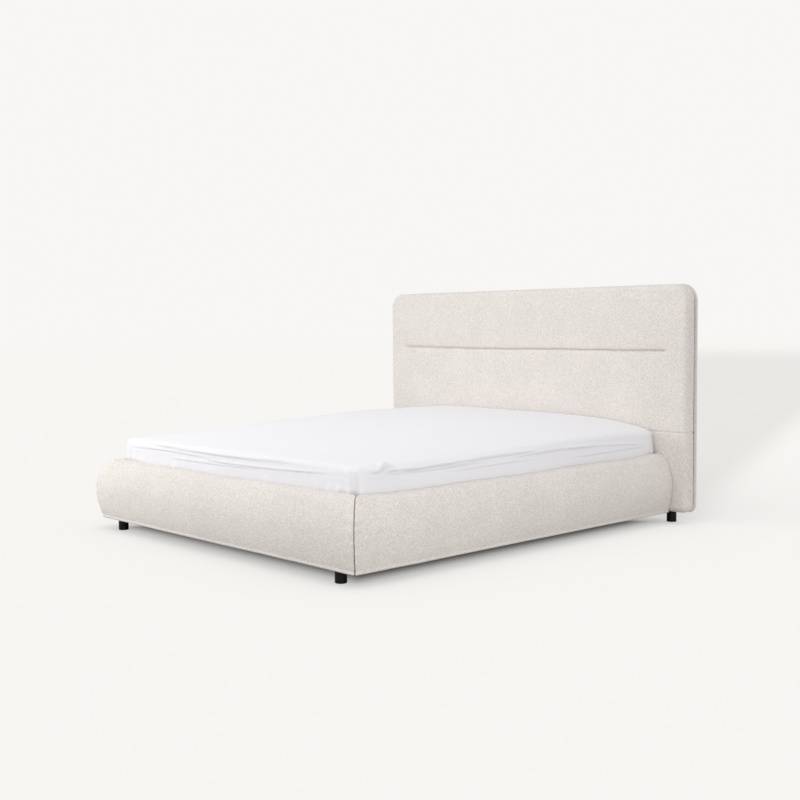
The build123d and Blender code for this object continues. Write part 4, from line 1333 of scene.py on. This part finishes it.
def sheet_folds(linen, points, spread):
    """Drag lines, corner pleats and loose folds on the sheet, as heights."""
    x, y, z = points[:, 0], points[:, 1], points[:, 2]
    high = MATTRESS_LOW.z + linen.side_height
    rail = RAIL_HIGH - 0.02
    upright = 1.0 - np.abs(spread[:, 2])
    half_x, half_y = MATTRESS_HIGH.x, (MATTRESS_HIGH.y - MATTRESS_LOW.y) / 2
    along_y = y - MATTRESS_MIDDLE.y
    on_side = step(np.abs(x), half_x - 0.05, half_x - 0.01)
    on_end = step(np.abs(along_y), half_y - 0.05, half_y - 0.01)
    total = np.zeros(len(points))

    def crease(where, run, start, end, start_z, end_z, width, proud, sway=0.0):
        """A soft ridge with a drawn-in line under it, between two points of a side."""
        t = (run - start) / (end - start)
        centre = start_z + (end_z - start_z) * t + sway * np.sin(math.pi * np.clip(t, 0, 1))
        d = (z - centre) / width
        ends = step(t, 0.0, 0.18) * (1.0 - step(t, 0.75, 1.0))
        return 1.5 * where * ends * proud * (np.exp(-(d**2)) - 0.85 * np.exp(-(((d + 1.5) / 0.7) ** 2)))

    for start, end, start_z, end_z, width, proud, sway in SIDE_CREASES:
        total += crease(on_side, y, start, end, high + start_z, high + end_z, width, proud, sway)
    for start, end, start_z, end_z, width, proud, sway in END_CREASES:
        total += crease(on_end, x, start, end, high + start_z, high + end_z, width, proud, sway)
    for place, width, proud in TUCKS:
        slant = place + 0.25 * (z - rail)
        short = step(z, rail - 0.06, rail) * (1.0 - step(z, rail + 0.01, rail + 0.05))
        total += on_end * short * proud * np.exp(-(((x - slant) / width) ** 2))
    belly = np.exp(-(((z - (high - 0.035)) / 0.045) ** 2)) * upright
    total += 0.0070 * belly * (0.6 + 0.4 * drift(points, 0.30, 95))
    corner_gap = np.hypot(half_x - np.abs(x), half_y - np.abs(along_y))
    near_corner = np.exp(-((corner_gap / 0.13) ** 2)) * upright
    sweep = np.arctan2(half_x - np.abs(x) + 0.02, half_y - np.abs(along_y) + 0.02)
    lower = step(high - z, 0.02, 0.12)
    pleats = np.sin(17.0 * sweep + 1.5 * drift(points, 0.08, 91)) * near_corner * (0.2 + 0.8 * lower)
    total += 0.0075 * (pleats + 0.7 * near_corner * lower) + 0.006 * near_corner * step(z, rail, rail + 0.03)
    total += 0.0012 * drift(points * (1.0, 1.0, 3.0), 0.12, 93) * (0.5 + 0.5 * upright)
    total += 0.0030 * drift(points, 0.35, 97) * (1.0 - upright)
    bump = np.exp(-(((y + 0.885) / 0.065) ** 2)) * step(x, half_x - 0.075, half_x - 0.02)
    wave = z - high + 0.010 - 0.007 * np.sin((y + 0.885) / 0.022)
    total += bump * (0.008 * np.exp(-((wave / 0.035) ** 2)) + 0.015 * np.exp(-((wave / 0.007) ** 2)))
    total -= 0.011 * bump * np.exp(-(((wave - 0.012) / 0.006) ** 2))
    total -= 0.011 * bump * np.exp(-(((wave + 0.014) / 0.006) ** 2))
    return np.maximum(total, -SHEET_CLEARANCE)


# --- Finishes of the parts that the frame brings ------------------------------------------------
FINISHES = {
    "timber": ["headboard_cross_rails", "leg_blocks"],
    "uprights": ["headboard_uprights"],
    "boards": ["headboard_panel", "left_rail_board", "right_rail_board", "foot_rail_board"],
    "slats": [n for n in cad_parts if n.startswith("slat_pair")],
    "steel": ["left_ledger", "right_ledger", "left_corner_bracket", "right_corner_bracket",
              "left_headboard_bracket", "right_headboard_bracket", "centre_beam",
              "foot_beam_hanger", "head_beam_hanger", "centre_leg_1", "centre_leg_2",
              "centre_leg_3"],
    "fasteners": ["rail_screws", "headboard_bolts", "headboard_tee_nuts", "hanger_screws",
                  "centre_leg_bolts", "leg_studs"],
    "plastic": ["left_front_leg", "right_front_leg", "left_rear_leg", "right_rear_leg",
                "levelling_foot_1", "levelling_foot_2", "levelling_foot_3", "left_slat_holders",
                "right_slat_holders", "centre_slat_holders"],
}


def repaint(names, material):
    """Gives packed parts a finish."""
    for name in names:
        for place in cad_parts[name].material_slots:
            place.material = material


class BED_OT_finishes(Operator):
    """Wood, steel, zinc and plastic finishes of the parts inside and under the bed."""

    bl_idname = "bed.finishes"
    bl_label = "Finishes"

    def execute(self, context):
        makers = {
            "timber": frame_pine, "uprights": upright_pine, "boards": board_plywood,
            "slats": slat_birch, "steel": coated_steel, "fasteners": zinc_plate,
            "plastic": moulded_plastic,
        }
        for group, maker in makers.items():
            repaint(FINISHES[group], maker())
        return {"FINISHED"}


# --- Stage --------------------------------------------------------------------------------------
class BED_OT_stage(Operator):
    """Pale floor and backdrop, soft lights and the camera."""

    bl_idname = "bed.stage"
    bl_label = "Stage"

    def execute(self, context):
        stage = context.scene.bed_stage
        self.lights(context.scene, stage, self.floor(stage))
        self.camera(context.scene, stage)
        context.scene.view_settings.view_transform = "Standard"
        return {"FINISHED"}

    def floor(self, stage):
        """Wide flat floor, as pale as the surround, that takes soft shade, with painted shade under the bed and
        a painted shadow strip behind it.
        """
        material = bpy.data.materials.new("pale floor")
        material.use_nodes = True
        tree = material.node_tree
        tree.nodes.clear()
        pale = tuple(stage.floor)
        taken = 0.66  # share of the floor's paleness that takes shade
        glow = node(tree, "ShaderNodeEmission", Strength=1.0)
        matt = node(tree, "ShaderNodeBsdfDiffuse", Color=opaque([taken * c for c in pale]))
        bounce = node(tree, "ShaderNodeEmission", Color=opaque(pale))
        dull = node(tree, "ShaderNodeBsdfDiffuse", Color=opaque([0.6 * c for c in pale]))
        place = node(tree, "ShaderNodeSeparateXYZ")
        coordinates = tree.nodes.new("ShaderNodeTexCoord").outputs["Object"]
        tree.links.new(coordinates, place.inputs["Vector"])
        x, y = place.outputs["X"], place.outputs["Y"]
        own = [c * (1.0 - taken * stage.surround) for c in pale]
        # painted shadow: the headboard's long shade on the floor behind the bed darkens the floor's glow
        tone = mix_colour(tree, self.strip(tree, x, y), own, [c - 0.115 for c in own])
        depth = self.depth_under(tree, x, y)
        # painted shade under the bed, darker the further inside its outline
        tone = mix_colour(tree, ramp(tree, depth, 0.07, 0.23), tone, [0.10 * c for c in own])
        tree.links.new(tone, glow.inputs["Color"])
        # painted bounce light: for rays from the bed the floor glows, fading out under the bed
        tree.links.new(ramp(tree, depth, -0.15, 0.05, 0.20, 0.0), bounce.inputs["Strength"])
        choose = node(tree, "ShaderNodeMixShader")
        seen = tree.nodes.new("ShaderNodeLightPath").outputs["Is Camera Ray"]
        tree.links.new(seen, choose.inputs[0])
        for index, pair in ((1, (bounce, dull)), (2, (glow, matt))):
            both = tree.nodes.new("ShaderNodeAddShader")
            tree.links.new(pair[0].outputs[0], both.inputs[0])
            tree.links.new(pair[1].outputs[0], both.inputs[1])
            tree.links.new(both.outputs[0], choose.inputs[index])
        out = tree.nodes.new("ShaderNodeOutputMaterial")
        tree.links.new(choose.outputs[0], out.inputs["Surface"])
        reach, around = 90.0, 64
        angles = np.linspace(0.0, 2 * math.pi, around, endpoint=False)
        points = [(reach * math.cos(a), reach * math.sin(a), 0.0) for a in angles]
        floor = add_piece("pale_floor", np.array(points), [tuple(range(around))], material)
        return floor

    def strip(self, tree, x, y):
        """Mask of the long soft shade that the headboard casts away behind the bed."""
        sine, cosine = 0.4, 0.917  # its turn from the bed's length
        across = maths(tree, "ADD", maths(tree, "MULTIPLY", x, cosine), maths(tree, "MULTIPLY", y, sine))
        along = maths(tree, "SUBTRACT", maths(tree, "MULTIPLY", y, cosine),
                      maths(tree, "MULTIPLY", x, sine))
        spread = maths(tree, "ADD", across, maths(tree, "MULTIPLY", along, 0.12))
        shade = maths(tree, "MULTIPLY", ramp(tree, across, 1.22, 1.60, 1.0, 0.0),
                      ramp(tree, spread, -1.2, -0.7))
        shade = maths(tree, "MULTIPLY", shade, ramp(tree, y, 0.9, 1.25))
        return maths(tree, "MULTIPLY", shade, ramp(tree, along, 24.0, 47.0, 1.0, 0.0))

    def depth_under(self, tree, x, y):
        """How far inside the bed's outline a place on the floor is."""
        sideways = maths(tree, "SUBTRACT", SIDE_HIGH.x, maths(tree, "ABSOLUTE", x))
        inward = maths(tree, "MINIMUM", maths(tree, "SUBTRACT", y, FOOT_LOW.y),
                       maths(tree, "SUBTRACT", HEAD_HIGH.y, y))
        return maths(tree, "MINIMUM", sideways, inward)

    def lights(self, scene, stage, floor):
        """A pale even surround, a broad key by the left, a soft lamp overhead and one by the right."""
        world = bpy.data.worlds.new("studio")
        scene.world = world
        world.use_nodes = True
        tree = world.node_tree
        seen = tree.nodes["Background"]
        seen.inputs["Color"].default_value = opaque(stage.floor)
        cast = node(tree, "ShaderNodeBackground", Color=(1.0, 0.99, 0.98, 1.0),
                    Strength=stage.surround)
        choose = tree.nodes.new("ShaderNodeMixShader")
        tree.links.new(tree.nodes.new("ShaderNodeLightPath").outputs["Is Camera Ray"], choose.inputs[0])
        tree.links.new(cast.outputs[0], choose.inputs[1])
        tree.links.new(seen.outputs[0], choose.inputs[2])
        tree.links.new(choose.outputs[0], tree.nodes["World Output"].inputs["Surface"])
        bare = bpy.data.collections.new("not lit by the lamps")
        bare.objects.link(floor)
        bare.collection_objects[0].light_linking.link_state = "EXCLUDE"
        for name, place, aim, size, power, spread in LAMPS:
            light = bpy.data.lights.new(name, "AREA")
            light.shape = "DISK"
            light.size = size
            light.energy = power
            light.spread = math.radians(spread)
            lamp = bpy.data.objects.new(name, light)
            lamp.location = place
            line_of_aim = Vector(aim) - Vector(place)
            lamp.rotation_euler = line_of_aim.to_track_quat("-Z", "Y").to_euler()
            lamp.light_linking.receiver_collection = bare
            lamp.visible_camera = False
            scene.collection.objects.link(lamp)

    def camera(self, scene, stage):
        data = bpy.data.cameras.new("camera")
        data.lens = stage.lens
        data.sensor_width = 36.0
        data.clip_end = 100.0
        camera = bpy.data.objects.new("camera", data)
        turn = Matrix.Rotation(stage.heading, 4, "Z") @ Matrix.Rotation(math.pi / 2 - stage.dip, 4, "X")
        camera.matrix_world = Matrix.Translation(stage.eye) @ turn @ Matrix.Rotation(stage.roll, 4, "Z")
        scene.collection.objects.link(camera)
        scene.camera = camera


# --- Panel and start ----------------------------------------------------------------------------
STEPS = ("stage", "finishes", "side_rails", "foot_rail", "headboard", "welt", "back_cloth",
         "mattress", "fitted_sheet")
SETTINGS = {"bed_padding": BedPadding, "bed_linen": BedLinen, "bed_colours": BedColours,
            "bed_stage": BedStage}


class BED_PT_pieces(Panel):
    """Buttons that make the bed's pieces."""

    bl_label = "Bed"
    bl_idname = "BED_PT_pieces"
    bl_space_type = "VIEW_3D"
    bl_region_type = "UI"
    bl_category = "Bed"

    def draw(self, context):
        for name in STEPS:
            self.layout.operator(f"bed.{name}")
        for name, group in SETTINGS.items():
            box = self.layout.box()
            box.label(text=group.__doc__)
            for key in group.__annotations__:
                box.prop(getattr(context.scene, name), key)


CLASSES = (BedPadding, BedLinen, BedColours, BedStage, BED_OT_stage, BED_OT_finishes,
           BED_OT_side_rails, BED_OT_foot_rail, BED_OT_headboard, BED_OT_welt, BED_OT_back_cloth,
           BED_OT_mattress, BED_OT_fitted_sheet, BED_PT_pieces)


def register():
    for made in CLASSES:
        bpy.utils.register_class(made)
    for name, group in SETTINGS.items():
        setattr(bpy.types.Scene, name, PointerProperty(type=group))


def unregister():
    for name in SETTINGS:
        delattr(bpy.types.Scene, name)
    for made in reversed(CLASSES):
        bpy.utils.unregister_class(made)


def main():
    register()
    for name in STEPS:
        getattr(bpy.ops.bed, name)()


if __name__ == "__main__":
    main()
